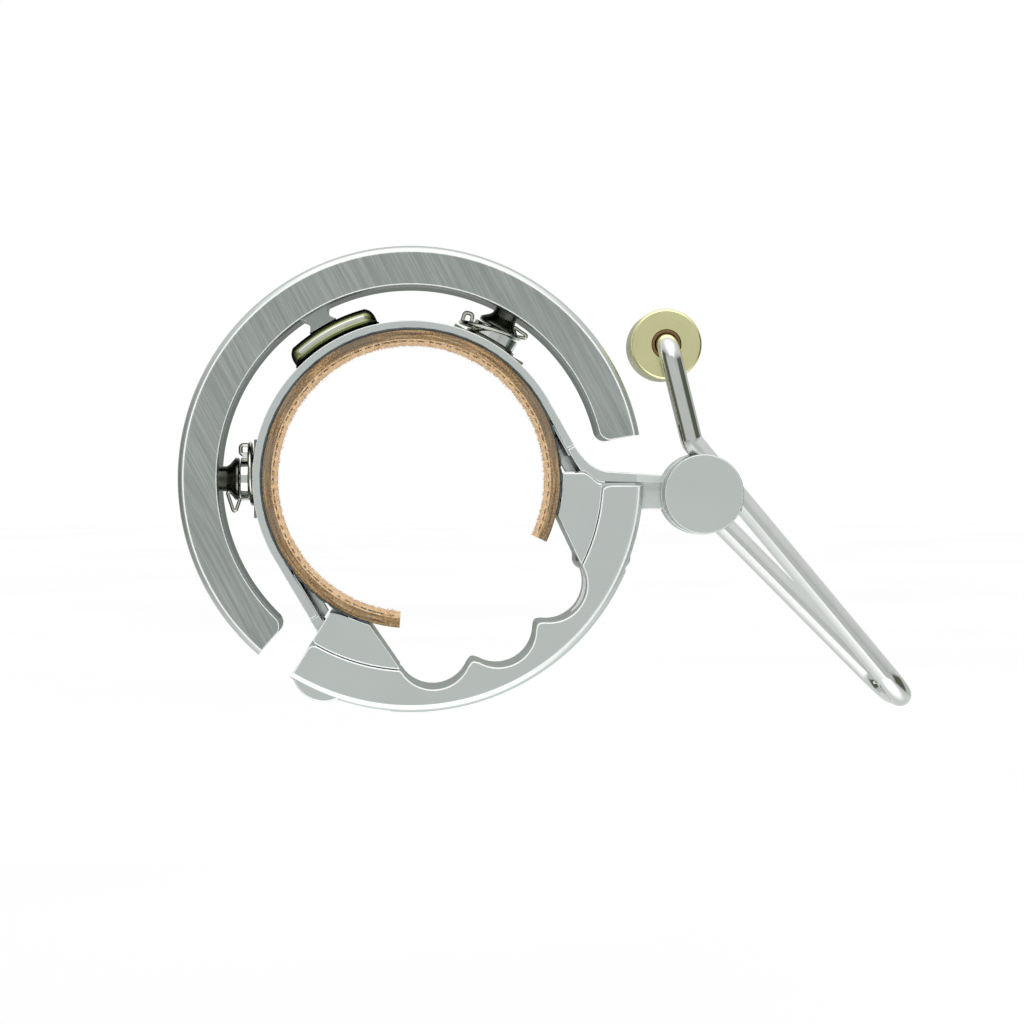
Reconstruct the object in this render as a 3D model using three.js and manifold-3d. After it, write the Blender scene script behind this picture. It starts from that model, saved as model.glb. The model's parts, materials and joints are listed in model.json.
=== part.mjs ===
// Ring-shaped bicycle bell that clamps round a handlebar.
// Units are millimetres and degrees. The bar axis is Y and passes through the origin, +Z is up, and
// the bell's front faces -Y. Angles run counter-clockwise from +X as seen from the front.
import * as THREE from 'three';
import { mergeVertices } from 'three/addons/utils/BufferGeometryUtils.js';
import Module from 'manifold-3d';

const wasm = await Module();
wasm.setup();

// ---- Driving dimensions -------------------------------------------------------------------------

const GAP = 0.3;                 // clearance between pieces that a cut shapes
const FIT = 0.1;                 // clearance between pieces stacked or nested on one axis
const OVERLAP = 0.2;             // how far joined shapes of one piece run into each other
const RING_RADIUS = 26.55;       // outside of the gong and of the lower cover
const HALF_WIDTH = 6;            // half width along the bar
const EDGE_ROUND = 0.9;          // rounding of the ring's outer edges
const SYMMETRY_ANGLE = 120;      // the ring is symmetric about this radius

const LINER = { inner: 15.9, outer: 16.68, from: -25, to: 265.5 };
const BACKING = { inner: 16.78, outer: 17.02, from: -14, to: 253.9 };
const ARCH = { inner: 17.15, outer: 18.06, right: 29.5, left: 210.5, seamRight: 5.8, seamLeft: 8 };
const TRIM = { inside: 4.9, outside: 5.5 };
const LEDGE = { inner: 16.95, start: 2.6 };
const FLANGE = { inner: 16.1, front: 2.7, right: 9.5 };
const SEAM_OVERRUN = 0.6;        // the casting runs this far past the trims at both seams

const GONG = { inner: 22.1, from: 10.95, to: 229.05 };
const PAD = { base: 18.5, top: 14.5, radius: 20.5, halfWidth: 4.6, round: 1.2, rise: 0.5, ease: 1 };
const LUG = { base: 1.36, waist: 1.1, head: 1.9, halfWidth: 4.2 };

const POST_ANGLES = [60, 180];
const POST = {
  plate: { from: 17.75, to: 18.2, halfLength: 4.5, halfWidth: 3.2 },
  washer: { from: 18.28, to: 18.48, radius: 3.1 },
  wire: { from: 18.58, radius: 3.15, thickness: 0.42 },
  collar: { from: 19.1, to: 19.9, radius: 2.68 },
  stud: { from: 20, neck: 21.4, radius: 2.6, neckRadius: 1.75, shank: 1 },
};

const COVER = { inner: 21.9, from: 238.6, to: 361.4, top: -0.74, raised: 0.17 };
const RAISED = { from: 265, to: 337, halfWidth: 5 };
const RECESS = { angles: [277.3, 300, 322.6], distance: 19.85, radius: 4.3 };
const SADDLE = { inner: 17.25, outer: 21.65, tip: 253.9, heel: 266.75, halfWidth: 5.9, top: 0.7 };

const HINGE = { x: -9.94, z: -21.8, knuckle: 2.8, neck: 2.2, halfWidth: 2.2 };
const HINGE_PIN = { radius: 1, front: -4.3, rear: 5.3 };
const CHEEK = { radius: 3.6, halfWidth: 5.7 };
const STUB_GAP = 0.9;            // angle between the arch's left end and the lower cover
const LUG_SIDE = { stub: 20.3, cover: 21.3, inset: 1.2 };
const OPENING_CLEARANCE = 6.6;   // reach of the left saddle's corner from the hinge axis
const ARM = { halfWidth: 3.7, left: 18.6, bottom: -3.5, top: 0.38, slotEnd: 28.5 };
const SHOULDER = { foot: 19.34, valley: 22.4, bottom: -0.44, end: 29.4, endTop: 0.4, crestTop: 0.84 };
const BOLT = { x: 22, shank: 2, tip: -3.8, head: 3.5, headTop: -6.9, headBottom: -10.4, washerTop: -6.4 };
const SOCKET = { radius: 1.5, depth: 2 };
const NUT = { radius: 2.8, bottom: -3.4, top: -0.6 };

const PIVOT = { x: 33.15, z: -1.73, radius: 4.67, front: -5.1, rear: -0.6 };
const BUSH = { inner: 1.35, outer: 2.1, inset: 0.2 };
const CAP = { radius: 4.53, front: -8.9, back: -7.95, hub: 1.45, skirt: 3.9, from: 120, to: 300 };
const SPRING = { radius: 2.6, wire: 0.4, from: 0.1, to: 4.3, turns: 4 };

const WIRE_RADIUS = 1.25;
const LEG_Y = 6.5;               // the trigger's two legs lie this far in front and behind
const HAMMER = { x: 29.2, z: 15.4, radius: 4.07, front: -4.5, rear: 4, edge: 0.3, wall: 1, bush: 1.65 };

// ---- Helpers ------------------------------------------------------------------------------------

const FAR = 60;
const rad = THREE.MathUtils.degToRad;
const polar = (radius, angle) => (
  new THREE.Vector2(radius * Math.cos(rad(angle)), radius * Math.sin(rad(angle)))
);
const mirrored = (angle) => 2 * (SYMMETRY_ANGLE + 180) - angle;

function solid(geometry) {
  geometry.deleteAttribute('normal');
  geometry.deleteAttribute('uv');
  const welded = mergeVertices(geometry, 1e-5);
  return new wasm.Manifold(new wasm.Mesh({
    numProp: 3,
    vertProperties: new Float32Array(welded.attributes.position.array),
    triVerts: new Uint32Array(welded.index.array),
  }));
}

// An outline in the X-Z plane, extruded along Y.
function plate(shape, front, rear, curveSegments = 12) {
  const depth = rear - front;
  const geometry = new THREE.ExtrudeGeometry(shape, { depth, bevelEnabled: false, curveSegments });
  geometry.rotateX(Math.PI / 2);
  geometry.translate(0, rear, 0);
  return solid(geometry);
}

function box(xFrom, xTo, yFrom, yTo, zFrom, zTo) {
  const geometry = new THREE.BoxGeometry(xTo - xFrom, yTo - yFrom, zTo - zFrom);
  geometry.translate((xFrom + xTo) / 2, (yFrom + yTo) / 2, (zFrom + zTo) / 2);
  return solid(geometry);
}

// A round bar along Y.
function rod(x, z, radius, front, rear, segments = 32) {
  const geometry = new THREE.CylinderGeometry(radius, radius, rear - front, segments);
  geometry.translate(x, (front + rear) / 2, z);
  return solid(geometry);
}

// A round bar along Z.
function uprightRod(x, radius, bottom, top, segments = 32) {
  const geometry = new THREE.CylinderGeometry(radius, radius, top - bottom, segments);
  geometry.rotateX(Math.PI / 2);
  geometry.translate(x, 0, (bottom + top) / 2);
  return solid(geometry);
}

const polygon = (...points) => new THREE.Shape(points.map(([x, z]) => new THREE.Vector2(x, z)));

// A line to the start of an arc about the origin, then the arc.
function lineAndArc(shape, radius, from, to) {
  const start = polar(radius, from);
  shape.lineTo(start.x, start.y);
  shape.absarc(0, 0, radius, rad(from), rad(to), to < from);
}

function pieSlice(from, to) {
  const shape = new THREE.Shape();
  shape.moveTo(0, 0);
  lineAndArc(shape, FAR, from, to);
  shape.closePath();
  return plate(shape, -FAR, FAR, 8);
}

function sector(inner, outer, from, to, front, rear, curveSegments = 24) {
  const shape = new THREE.Shape();
  shape.absarc(0, 0, outer, rad(from), rad(to), false);
  shape.absarc(0, 0, inner, rad(to), rad(from), true);
  shape.closePath();
  return plate(shape, front, rear, curveSegments);
}

// A closed profile of (radius, y) points, turned round the bar axis.
function ring(profile, segments = 72) {
  const points = [...profile, profile[0]].map(([radius, y]) => new THREE.Vector2(radius, y));
  return solid(new THREE.LatheGeometry(points, segments));
}

// A profile of (height, radius) points that starts and ends on the axis, or closes on itself,
// turned round the X axis.
function turnedOnX(profile, segments = 24) {
  const points = profile.map(([x, radius]) => new THREE.Vector2(radius, x));
  const geometry = new THREE.LatheGeometry(points, segments);
  geometry.rotateZ(-Math.PI / 2);
  return solid(geometry);
}

const tubeProfile = (from, to, inner, outer) => [
  [from, inner], [from, outer], [to, outer], [to, inner], [from, inner],
];

// A straight-edged piece between two outlines of the ring: inner radius, round edges outside.
function roundedRing(inner, outer, halfWidth) {
  const corner = [0, 30, 60].map((angle) => [
    outer - EDGE_ROUND + EDGE_ROUND * Math.cos(rad(angle)),
    halfWidth - EDGE_ROUND + EDGE_ROUND * Math.sin(rad(angle)),
  ]);
  return ring([
    [inner, -halfWidth],
    [outer - EDGE_ROUND, -halfWidth],
    ...corner.map(([radius, y]) => [radius, -y]).reverse(),
    ...corner,
    [outer - EDGE_ROUND, halfWidth],
    [inner, halfWidth],
  ]);
}

// A path of straight runs whose corners are rounded; each corner is [x, y, z, bend].
function bentPath(corners) {
  const path = new THREE.CurvePath();
  const points = corners.map(([x, y, z]) => new THREE.Vector3(x, y, z));
  let start = points[0];
  for (let i = 1; i < points.length - 1; i += 1) {
    const bend = corners[i][3];
    const before = points[i].clone().add(points[i - 1].clone().sub(points[i]).setLength(bend));
    const after = points[i].clone().add(points[i + 1].clone().sub(points[i]).setLength(bend));
    path.add(new THREE.LineCurve3(start, before));
    path.add(new THREE.QuadraticBezierCurve3(before, points[i], after));
    start = after;
  }
  path.add(new THREE.LineCurve3(start, points[points.length - 1]));
  return path;
}

function wireAlong(path, radius, steps, sides) {
  const section = new THREE.Shape();
  for (let i = 0; i < sides; i += 1) {
    const { x, y } = polar(radius, (360 * i) / sides);
    if (i === 0) section.moveTo(x, y);
    else section.lineTo(x, y);
  }
  section.closePath();
  return solid(new THREE.ExtrudeGeometry(section, { steps, extrudePath: path, curveSegments: 1 }));
}

class Helix extends THREE.Curve {
  constructor(radius, from, to, turns) {
    super();
    Object.assign(this, { radius, from, to, turns });
  }

  getPoint(t, target = new THREE.Vector3()) {
    const turn = 2 * Math.PI * this.turns * t;
    const y = this.from + (this.to - this.from) * t;
    return target.set(this.radius * Math.cos(turn), y, this.radius * Math.sin(turn));
  }
}

const finish = (color, roughness, metalness) => (
  new THREE.MeshStandardMaterial({ color, roughness, metalness })
);
const FINISHES = {
  steel: finish('#b2b9b6', 0.35, 1),
  brushed: finish('#9aa19d', 0.4, 1),
  chrome: finish('#d3d6d2', 0.12, 1),
  dark: finish('#4b5a5f', 0.45, 0.8),
  brass: finish('#c8c88c', 0.3, 1),
  leather: finish('#a57d55', 0.85, 0),
  backing: finish('#4b5a5f', 0.7, 0.1),
  bronze: finish('#8a6a42', 0.5, 0.9),
};

const bell = new THREE.Group();

function add(name, body, material, parent = bell) {
  const { vertProperties, triVerts } = body.getMesh();
  const geometry = new THREE.BufferGeometry();
  geometry.setAttribute('position', new THREE.BufferAttribute(new Float32Array(vertProperties), 3));
  geometry.setIndex(new THREE.BufferAttribute(new Uint32Array(triVerts), 1));
  geometry.computeVertexNormals();
  const mesh = new THREE.Mesh(geometry, material);
  mesh.name = name;
  parent.add(mesh);
  return mesh;
}

const place = (mesh, x, y, z) => mesh.position.set(x, y, z);

// ---- Clamp bracket: arch, arm, pivot housing and hinge lug in one casting -----------------------

// A point on the arch's straight end, at a distance along it from where the arc stops.
function onStraight(side, radius, distance) {
  const tangent = side === 'right' ? ARCH.right - 90 : ARCH.left + 90;
  return polar(radius, ARCH[side]).add(polar(distance, tangent));
}

function archBand(inner, outer, rightEnd, leftEnd) {
  const shape = new THREE.Shape();
  const start = onStraight('right', outer, rightEnd);
  shape.moveTo(start.x, start.y);
  lineAndArc(shape, outer, ARCH.right, ARCH.left);
  for (const radius of [outer, inner]) {
    const end = onStraight('left', radius, leftEnd);
    shape.lineTo(end.x, end.y);
  }
  lineAndArc(shape, inner, ARCH.left, ARCH.right);
  const last = onStraight('right', inner, rightEnd);
  shape.lineTo(last.x, last.y);
  shape.closePath();
  return shape;
}

// A strip along one straight end, between two radii and two distances.
function strip(side, inner, outer, start, end, front, rear) {
  const corners = [[inner, start], [outer, start], [outer, end], [inner, end]];
  const points = corners.map(([radius, distance]) => onStraight(side, radius, distance));
  return plate(new THREE.Shape(side === 'right' ? points.reverse() : points), front, rear);
}

function shoulder() {
  const top = onStraight('right', ARCH.outer, ARCH.seamRight + GAP);
  const inner = onStraight('right', LEDGE.inner, ARCH.seamRight + GAP);
  const { foot, valley, bottom, end, endTop, crestTop } = SHOULDER;
  const shape = new THREE.Shape();
  shape.moveTo(inner.x, inner.y);
  shape.lineTo(foot, SADDLE.top + 0.22);
  shape.bezierCurveTo(foot + 1.06, SADDLE.top + 0.1, valley - 1.6, bottom, valley, bottom);
  shape.lineTo(end, bottom);
  shape.lineTo(end, endTop);
  shape.lineTo(valley + 0.2, crestTop);
  shape.bezierCurveTo(valley - 1.5, 1, valley - 2.5, 1.9, top.x, top.y);
  shape.closePath();
  return plate(shape, -TRIM.outside, TRIM.outside, 10);
}

// The lug's outer side stays inside the lower cover's end, which hides it.
function hingeLug() {
  const inner = onStraight('left', LEDGE.inner, ARCH.seamLeft);
  const outer = onStraight('left', ARCH.outer, ARCH.seamLeft);
  const stubCorner = polar(LUG_SIDE.stub, COVER.from - STUB_GAP);
  const coverSide = polar(LUG_SIDE.cover, COVER.from + LUG_SIDE.inset);
  const shape = polygon(
    [HINGE.x - HINGE.neck, HINGE.z], [HINGE.x + HINGE.neck, HINGE.z], [inner.x + 1, inner.y - 1.2],
    [inner.x, inner.y], [outer.x, outer.y], [stubCorner.x, stubCorner.y], [coverSide.x, coverSide.y],
  );
  const knuckle = rod(HINGE.x, HINGE.z, HINGE.knuckle, -HINGE.halfWidth, HINGE.halfWidth);
  return plate(shape, -HINGE.halfWidth, HINGE.halfWidth).add(knuckle);
}

function leftStub() {
  const end = ARCH.seamLeft + 2;
  return strip('left', LEDGE.inner, ARCH.outer, ARCH.seamLeft + GAP, end, -TRIM.outside, TRIM.outside);
}

function postSeat(angle) {
  const { from, halfLength, halfWidth } = POST.plate;
  const geometry = new THREE.BoxGeometry(2, 2 * (halfWidth + GAP), 2 * (halfLength + GAP));
  geometry.translate(from - FIT + 1, 0, 0);
  geometry.rotateY(-rad(angle));
  return solid(geometry);
}

// An inward flange and a ledge on one straight end. The right flange stops just above the saddle.
function endRibs(side, ledgeEnd, flangeEnd, half) {
  const lining = rod(0, 0, ARCH.inner, -FAR, FAR, 72);
  const saddleSpace = box(0, FAR, -FAR, FAR, -FAR, SADDLE.top + GAP);
  const flange = strip(side, FLANGE.inner, ARCH.inner + OVERLAP, 0, flangeEnd, FLANGE.front, half);
  const ledge = strip(side, LEDGE.inner, ARCH.inner + OVERLAP, LEDGE.start, ledgeEnd, -half, half);
  return ledge.add(flange.subtract(lining).subtract(saddleSpace));
}

function clampBracket() {
  const half = TRIM.inside - GAP;
  const [rightEnd, leftEnd] = [ARCH.seamRight + SEAM_OVERRUN, ARCH.seamLeft + SEAM_OVERRUN];
  const arm = box(ARM.left, PIVOT.x - BUSH.outer, -ARM.halfWidth, ARM.halfWidth, ARM.bottom, ARM.top);
  const armTop = polygon([ARM.left, 0.3], [19.6, -0.6], [21, -0.6], [21, 1], [19.3, 1]);
  const housing = rod(PIVOT.x, PIVOT.z, PIVOT.radius, PIVOT.front, PIVOT.rear, 48);
  const capSpace = rod(PIVOT.x, PIVOT.z, PIVOT.radius + GAP, -FAR, PIVOT.front, 48);
  const springSpace = rod(PIVOT.x, PIVOT.z, PIVOT.radius + GAP, PIVOT.rear, FAR, 48);
  let body = plate(archBand(ARCH.inner, ARCH.outer, rightEnd, leftEnd), -half, half, 24)
    .add(endRibs('right', rightEnd, FLANGE.right, half))
    .add(endRibs('left', leftEnd, leftEnd, half));
  body = body.add(shoulder()).add(arm).add(plate(armTop, -ARM.halfWidth, ARM.halfWidth));
  body = body.subtract(capSpace).subtract(springSpace).add(housing).add(leftStub());
  body = body.subtract(pieSlice(COVER.from - STUB_GAP, COVER.from + 60)).add(hingeLug());
  const nutSeat = uprightRod(BOLT.x, NUT.radius + FIT, ARM.bottom - 1, NUT.top + FIT);
  const pinHole = rod(HINGE.x, HINGE.z, HINGE_PIN.radius + FIT, -FAR, FAR, 24);
  const bushSeat = rod(PIVOT.x, PIVOT.z, BUSH.outer + FIT, -FAR, FAR);
  for (const cut of [nutSeat, pinHole, bushSeat, ...POST_ANGLES.map(postSeat)]) body = body.subtract(cut);
  return body;
}

add('clamp_bracket', clampBracket(), FINISHES.steel);
const trimBand = archBand(ARCH.inner, ARCH.outer, ARCH.seamRight, ARCH.seamLeft);
add('front_trim', plate(trimBand, -TRIM.outside, -TRIM.inside, 24), FINISHES.steel);
add('rear_trim', plate(trimBand, TRIM.inside, TRIM.outside, 24), FINISHES.steel);
add('clamp_nut', uprightRod(BOLT.x, NUT.radius, NUT.bottom, NUT.top)
  .subtract(uprightRod(BOLT.x, BOLT.shank + FIT, NUT.bottom - 1, NUT.top + 1)), FINISHES.brass);

// ---- Leather liner and its ribbed backing -------------------------------------------------------

for (const [name, layer, material] of [
  ['leather_liner', LINER, FINISHES.leather],
  ['liner_backing', BACKING, FINISHES.backing],
]) {
  add(name, sector(layer.inner, layer.outer, layer.from, layer.to, -HALF_WIDTH, HALF_WIDTH), material);
}

// ---- Gong, its centre pad and lug ---------------------------------------------------------------

const gongBody = roundedRing(GONG.inner, RING_RADIUS, HALF_WIDTH);
add('gong', gongBody.subtract(pieSlice(GONG.to, GONG.from + 360)), FINISHES.brushed);

function pad() {
  const shape = new THREE.Shape();
  const seat = ARCH.outer + FIT;
  const [baseFrom, baseTo] = [SYMMETRY_ANGLE - PAD.base, SYMMETRY_ANGLE + PAD.base];
  const [topFrom, topTo] = [SYMMETRY_ANGLE - PAD.top, SYMMETRY_ANGLE + PAD.top];
  shape.absarc(0, 0, seat, rad(baseFrom), rad(baseTo), false);
  const [rise, edge] = [polar(PAD.radius - PAD.rise, baseTo - PAD.ease), polar(PAD.radius, topTo)];
  shape.quadraticCurveTo(rise.x, rise.y, edge.x, edge.y);
  shape.absarc(0, 0, PAD.radius, rad(topTo), rad(topFrom), true);
  const [fall, foot] = [polar(PAD.radius - PAD.rise, baseFrom + PAD.ease), polar(seat, baseFrom)];
  shape.quadraticCurveTo(fall.x, fall.y, foot.x, foot.y);
  shape.closePath();
  const { radius, halfWidth, round } = PAD;
  const bulge = ring([
    [seat, -halfWidth], [radius - round, -halfWidth], [radius, -halfWidth + round],
    [radius, halfWidth - round], [radius - round, halfWidth], [seat, halfWidth],
  ]);
  return plate(shape, -halfWidth, halfWidth, 8).intersect(bulge);
}

function lug() {
  const [foot, head] = [PAD.radius + FIT, GONG.inner - FIT];
  const shape = new THREE.Shape();
  shape.moveTo(foot, -LUG.base);
  shape.quadraticCurveTo((foot + head) / 2, -LUG.waist, head, -LUG.head);
  shape.lineTo(head, LUG.head);
  shape.quadraticCurveTo((foot + head) / 2, LUG.waist, foot, LUG.base);
  shape.closePath();
  return plate(shape, -LUG.halfWidth, LUG.halfWidth, 6);
}

add('gong_pad', pad(), FINISHES.chrome);
add('gong_lug', lug(), FINISHES.steel).rotation.y = -rad(SYMMETRY_ANGLE);

// ---- Two posts that hang the gong at its nodes --------------------------------------------------

function basePlate() {
  const { from, to, halfLength, halfWidth } = POST.plate;
  const geometry = new THREE.BoxGeometry(to - from, 2 * halfWidth, 2 * halfLength);
  geometry.translate((from + to) / 2, 0, 0);
  return solid(geometry);
}

// A round wire eye on the post, with a leg that runs beside it and hooks outwards.
function suspensionWire() {
  const { from, radius, thickness } = POST.wire;
  const half = thickness / 2;
  const mid = from + half;
  const reach = radius + 0.9;
  const eye = turnedOnX(Array.from({ length: 7 }, (_, i) => {
    const angle = i === 6 ? 0 : 60 * i;
    return [mid + half * Math.sin(rad(angle)), radius - half + half * Math.cos(rad(angle))];
  }), 20);
  const leg = bentPath([
    [mid, -0.6, radius - 0.4], [mid, -0.6, reach, 0.5], [GONG.inner - 0.9, -0.6, reach, 0.5],
    [GONG.inner - 0.9, -0.6, radius - 0.9],
  ]);
  return eye.add(wireAlong(leg, half * 0.98, 16, 6));
}

function stud() {
  const { from, neck, radius, neckRadius, shank } = POST.stud;
  const tip = GONG.inner - FIT;
  return turnedOnX([
    [POST.plate.from + FIT, 0], [POST.plate.from + FIT, shank], [from, shank], [from, radius],
    [from + 0.3, radius], [from + 0.7, radius - 0.35], [neck, neckRadius], [tip, neckRadius], [tip, 0],
  ]);
}

POST_ANGLES.forEach((angle, index) => {
  const post = new THREE.Group();
  post.rotation.y = -rad(angle);
  const side = index === 0 ? 'right' : 'left';
  const { plate: base, washer, collar } = POST;
  const hole = POST.stud.shank + FIT;
  const bore = turnedOnX([[0, 0], [0, hole], [base.to + 1, hole], [base.to + 1, 0]]);
  const washerBody = turnedOnX(tubeProfile(washer.from, washer.to, hole, washer.radius));
  const collarBody = turnedOnX(tubeProfile(collar.from, collar.to, hole, collar.radius));
  add(`${side}_post_plate`, basePlate().subtract(bore), FINISHES.steel, post);
  add(`${side}_post_washer`, washerBody, FINISHES.dark, post);
  add(`${side}_post_collar`, collarBody, FINISHES.chrome, post);
  add(`${side}_post_stud`, stud(), FINISHES.dark, post);
  const wire = add(`${side}_post_wire`, suspensionWire(), FINISHES.chrome, post);
  // Each wire's hook points away from the ring's centre line.
  if (side === 'left') wire.rotation.x = Math.PI;
  bell.add(post);
});

// ---- Lower clamp: cover, saddles, bolt and washer -----------------------------------------------

const armSlot = box(0, ARM.slotEnd, -ARM.halfWidth - GAP, ARM.halfWidth + GAP, ARM.bottom - GAP, FAR);
const boltHole = uprightRod(BOLT.x, BOLT.shank + GAP, BOLT.headTop, 1);
const headPocket = uprightRod(BOLT.x, BOLT.head + GAP, -FAR, BOLT.washerTop + FIT);
const slotHalf = HINGE.halfWidth + GAP;
const hingeSlot = box(-FAR, HINGE.x + HINGE.neck + GAP, -slotHalf, slotHalf, -FAR, -HINGE.knuckle)
  .add(rod(HINGE.x, HINGE.z, HINGE.knuckle + GAP, -slotHalf, slotHalf));

function lowerCover() {
  const span = pieSlice(COVER.from, COVER.to);
  const cheeks = rod(HINGE.x, HINGE.z, CHEEK.radius, -CHEEK.halfWidth, CHEEK.halfWidth).intersect(span);
  const raised = sector(COVER.inner, RING_RADIUS + COVER.raised, RAISED.from, RAISED.to,
    -RAISED.halfWidth, RAISED.halfWidth, 10);
  const bore = rod(0, 0, COVER.inner, -FAR, FAR, 96);
  const above = box(0, FAR, -FAR, FAR, COVER.top, FAR);
  const pinHole = rod(HINGE.x, HINGE.z, HINGE_PIN.radius + FIT, HINGE_PIN.front - GAP, FAR, 24);
  const cuts = [bore, above, armSlot, boltHole, headPocket, hingeSlot, pinHole];
  let body = roundedRing(COVER.inner, RING_RADIUS, HALF_WIDTH).intersect(span).add(raised).add(cheeks);
  for (const cut of cuts) body = body.subtract(cut);
  for (const angle of RECESS.angles) {
    const centre = polar(RECESS.distance, angle);
    body = body.subtract(rod(centre.x, centre.y, RECESS.radius, -FAR, FAR));
  }
  return body;
}

function leftSaddle() {
  const shape = new THREE.Shape();
  shape.absarc(0, 0, SADDLE.inner, rad(COVER.from), rad(SADDLE.tip), false);
  shape.absarc(0, 0, SADDLE.outer, rad(SADDLE.heel), rad(COVER.from), true);
  shape.closePath();
  // The corner nearest the hinge is rounded about the hinge, so that it passes the liner.
  const toCentre = THREE.MathUtils.radToDeg(Math.atan2(-HINGE.z, -HINGE.x));
  const sweep = sector(OPENING_CLEARANCE, FAR, toCentre, toCentre + 70, -FAR, FAR, 12)
    .translate([HINGE.x, 0, HINGE.z]);
  return plate(shape, -SADDLE.halfWidth, SADDLE.halfWidth, 12).subtract(sweep).subtract(hingeSlot);
}

function rightSaddle() {
  const shape = new THREE.Shape();
  const edge = polar(SADDLE.outer, -1.5);
  shape.moveTo(edge.x, edge.y);
  shape.bezierCurveTo(20.9, -0.5, 20.5, SADDLE.top - 0.1, 19.6, SADDLE.top);
  lineAndArc(shape, SADDLE.inner, 2.3, mirrored(SADDLE.tip) - 360);
  lineAndArc(shape, SADDLE.outer, mirrored(SADDLE.heel) - 360, -1.5);
  shape.closePath();
  let body = plate(shape, -SADDLE.halfWidth, SADDLE.halfWidth, 12);
  for (const cut of [armSlot, boltHole, headPocket]) body = body.subtract(cut);
  return body;
}

function clampBolt() {
  const socket = uprightRod(BOLT.x, SOCKET.radius, BOLT.headBottom - 1, BOLT.headBottom + SOCKET.depth, 6);
  const head = uprightRod(BOLT.x, BOLT.head, BOLT.headBottom, BOLT.headTop, 40);
  return head.add(uprightRod(BOLT.x, BOLT.shank, BOLT.headTop - 1, BOLT.tip, 24)).subtract(socket);
}

add('lower_cover', lowerCover(), FINISHES.steel);
add('left_saddle', leftSaddle(), FINISHES.steel);
add('right_saddle', rightSaddle(), FINISHES.steel);
add('clamp_bolt', clampBolt(), FINISHES.dark);
add('bolt_washer', uprightRod(BOLT.x, BOLT.head, BOLT.headTop + FIT, BOLT.washerTop, 40)
  .subtract(uprightRod(BOLT.x, BOLT.shank + FIT, -FAR, FAR)), FINISHES.chrome);
const hingePin = rod(0, 0, HINGE_PIN.radius, HINGE_PIN.front, HINGE_PIN.rear, 24);
place(add('hinge_pin', hingePin, FINISHES.chrome), HINGE.x, 0, HINGE.z);

// ---- Pivot: bush, cap and return spring ---------------------------------------------------------

function pivotCap() {
  const disc = rod(0, 0, CAP.radius, CAP.front, CAP.back);
  const [top, foot] = [CAP.back - OVERLAP, PIVOT.front - FIT];
  const hub = rod(0, 0, CAP.hub, top, foot, 24);
  const skirt = sector(CAP.skirt, CAP.radius, CAP.from, CAP.to, top, foot, 8);
  return disc.add(hub).add(skirt);
}

function pivotBush() {
  const [front, rear] = [PIVOT.front + BUSH.inset, PIVOT.rear - BUSH.inset];
  return rod(0, 0, BUSH.outer, front, rear).subtract(rod(0, 0, BUSH.inner, -FAR, FAR));
}

const coil = new Helix(SPRING.radius, SPRING.from, SPRING.to, SPRING.turns);
for (const [name, body, material] of [
  ['pivot_cap', pivotCap(), FINISHES.steel],
  ['pivot_bush', pivotBush(), FINISHES.bronze],
  ['return_spring', wireAlong(coil, SPRING.wire, 56, 6), FINISHES.chrome],
]) {
  place(add(name, body, material), PIVOT.x, 0, PIVOT.z);
}

// ---- Trigger: one bent wire, with the hammer on its end -----------------------------------------

const triggerPath = bentPath([
  [PIVOT.x, PIVOT.front + 0.3, PIVOT.z],
  [PIVOT.x, LEG_Y, PIVOT.z, 1.9],
  [56.35, LEG_Y, -25.1, 3],
  [56.3, -LEG_Y, -24.9, 3],
  [31.95, -LEG_Y, 4.23, 1.2],
  [HAMMER.x, -LEG_Y, HAMMER.z, 1.9],
  [HAMMER.x, HAMMER.rear - 1.5, HAMMER.z],
]);
add('trigger_wire', wireAlong(triggerPath, WIRE_RADIUS, 96, 8), FINISHES.chrome);

function hammer() {
  const { radius, front, rear, edge, wall, bush } = HAMMER;
  const profile = [
    [0, front], [radius - edge, front], [radius, front + edge],
    [radius, rear - edge], [radius - edge, rear], [0, rear],
  ];
  const geometry = new THREE.LatheGeometry(profile.map(([r, y]) => new THREE.Vector2(r, y)), 40);
  return solid(geometry).subtract(rod(0, 0, bush + FIT, -FAR, rear - wall));
}

const bushRear = HAMMER.rear - HAMMER.wall - FIT;
const hammerBush = rod(0, 0, HAMMER.bush, HAMMER.front, bushRear, 24)
  .subtract(rod(0, 0, WIRE_RADIUS + FIT, -FAR, bushRear - OVERLAP, 24));
place(add('hammer', hammer(), FINISHES.brass), HAMMER.x, 0, HAMMER.z);
place(add('hammer_bush', hammerBush, FINISHES.bronze), HAMMER.x, 0, HAMMER.z);

export default bell;
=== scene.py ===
# Ring-shaped bicycle bell: the visible pieces, materials, light and camera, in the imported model's frame.
# The bar axis is Y, the bell's front faces -Y and +Z is up. Shapes are worked out in millimetres.
import json
import math
import random

import bmesh
import bpy
from mathutils import Matrix, Vector


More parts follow.
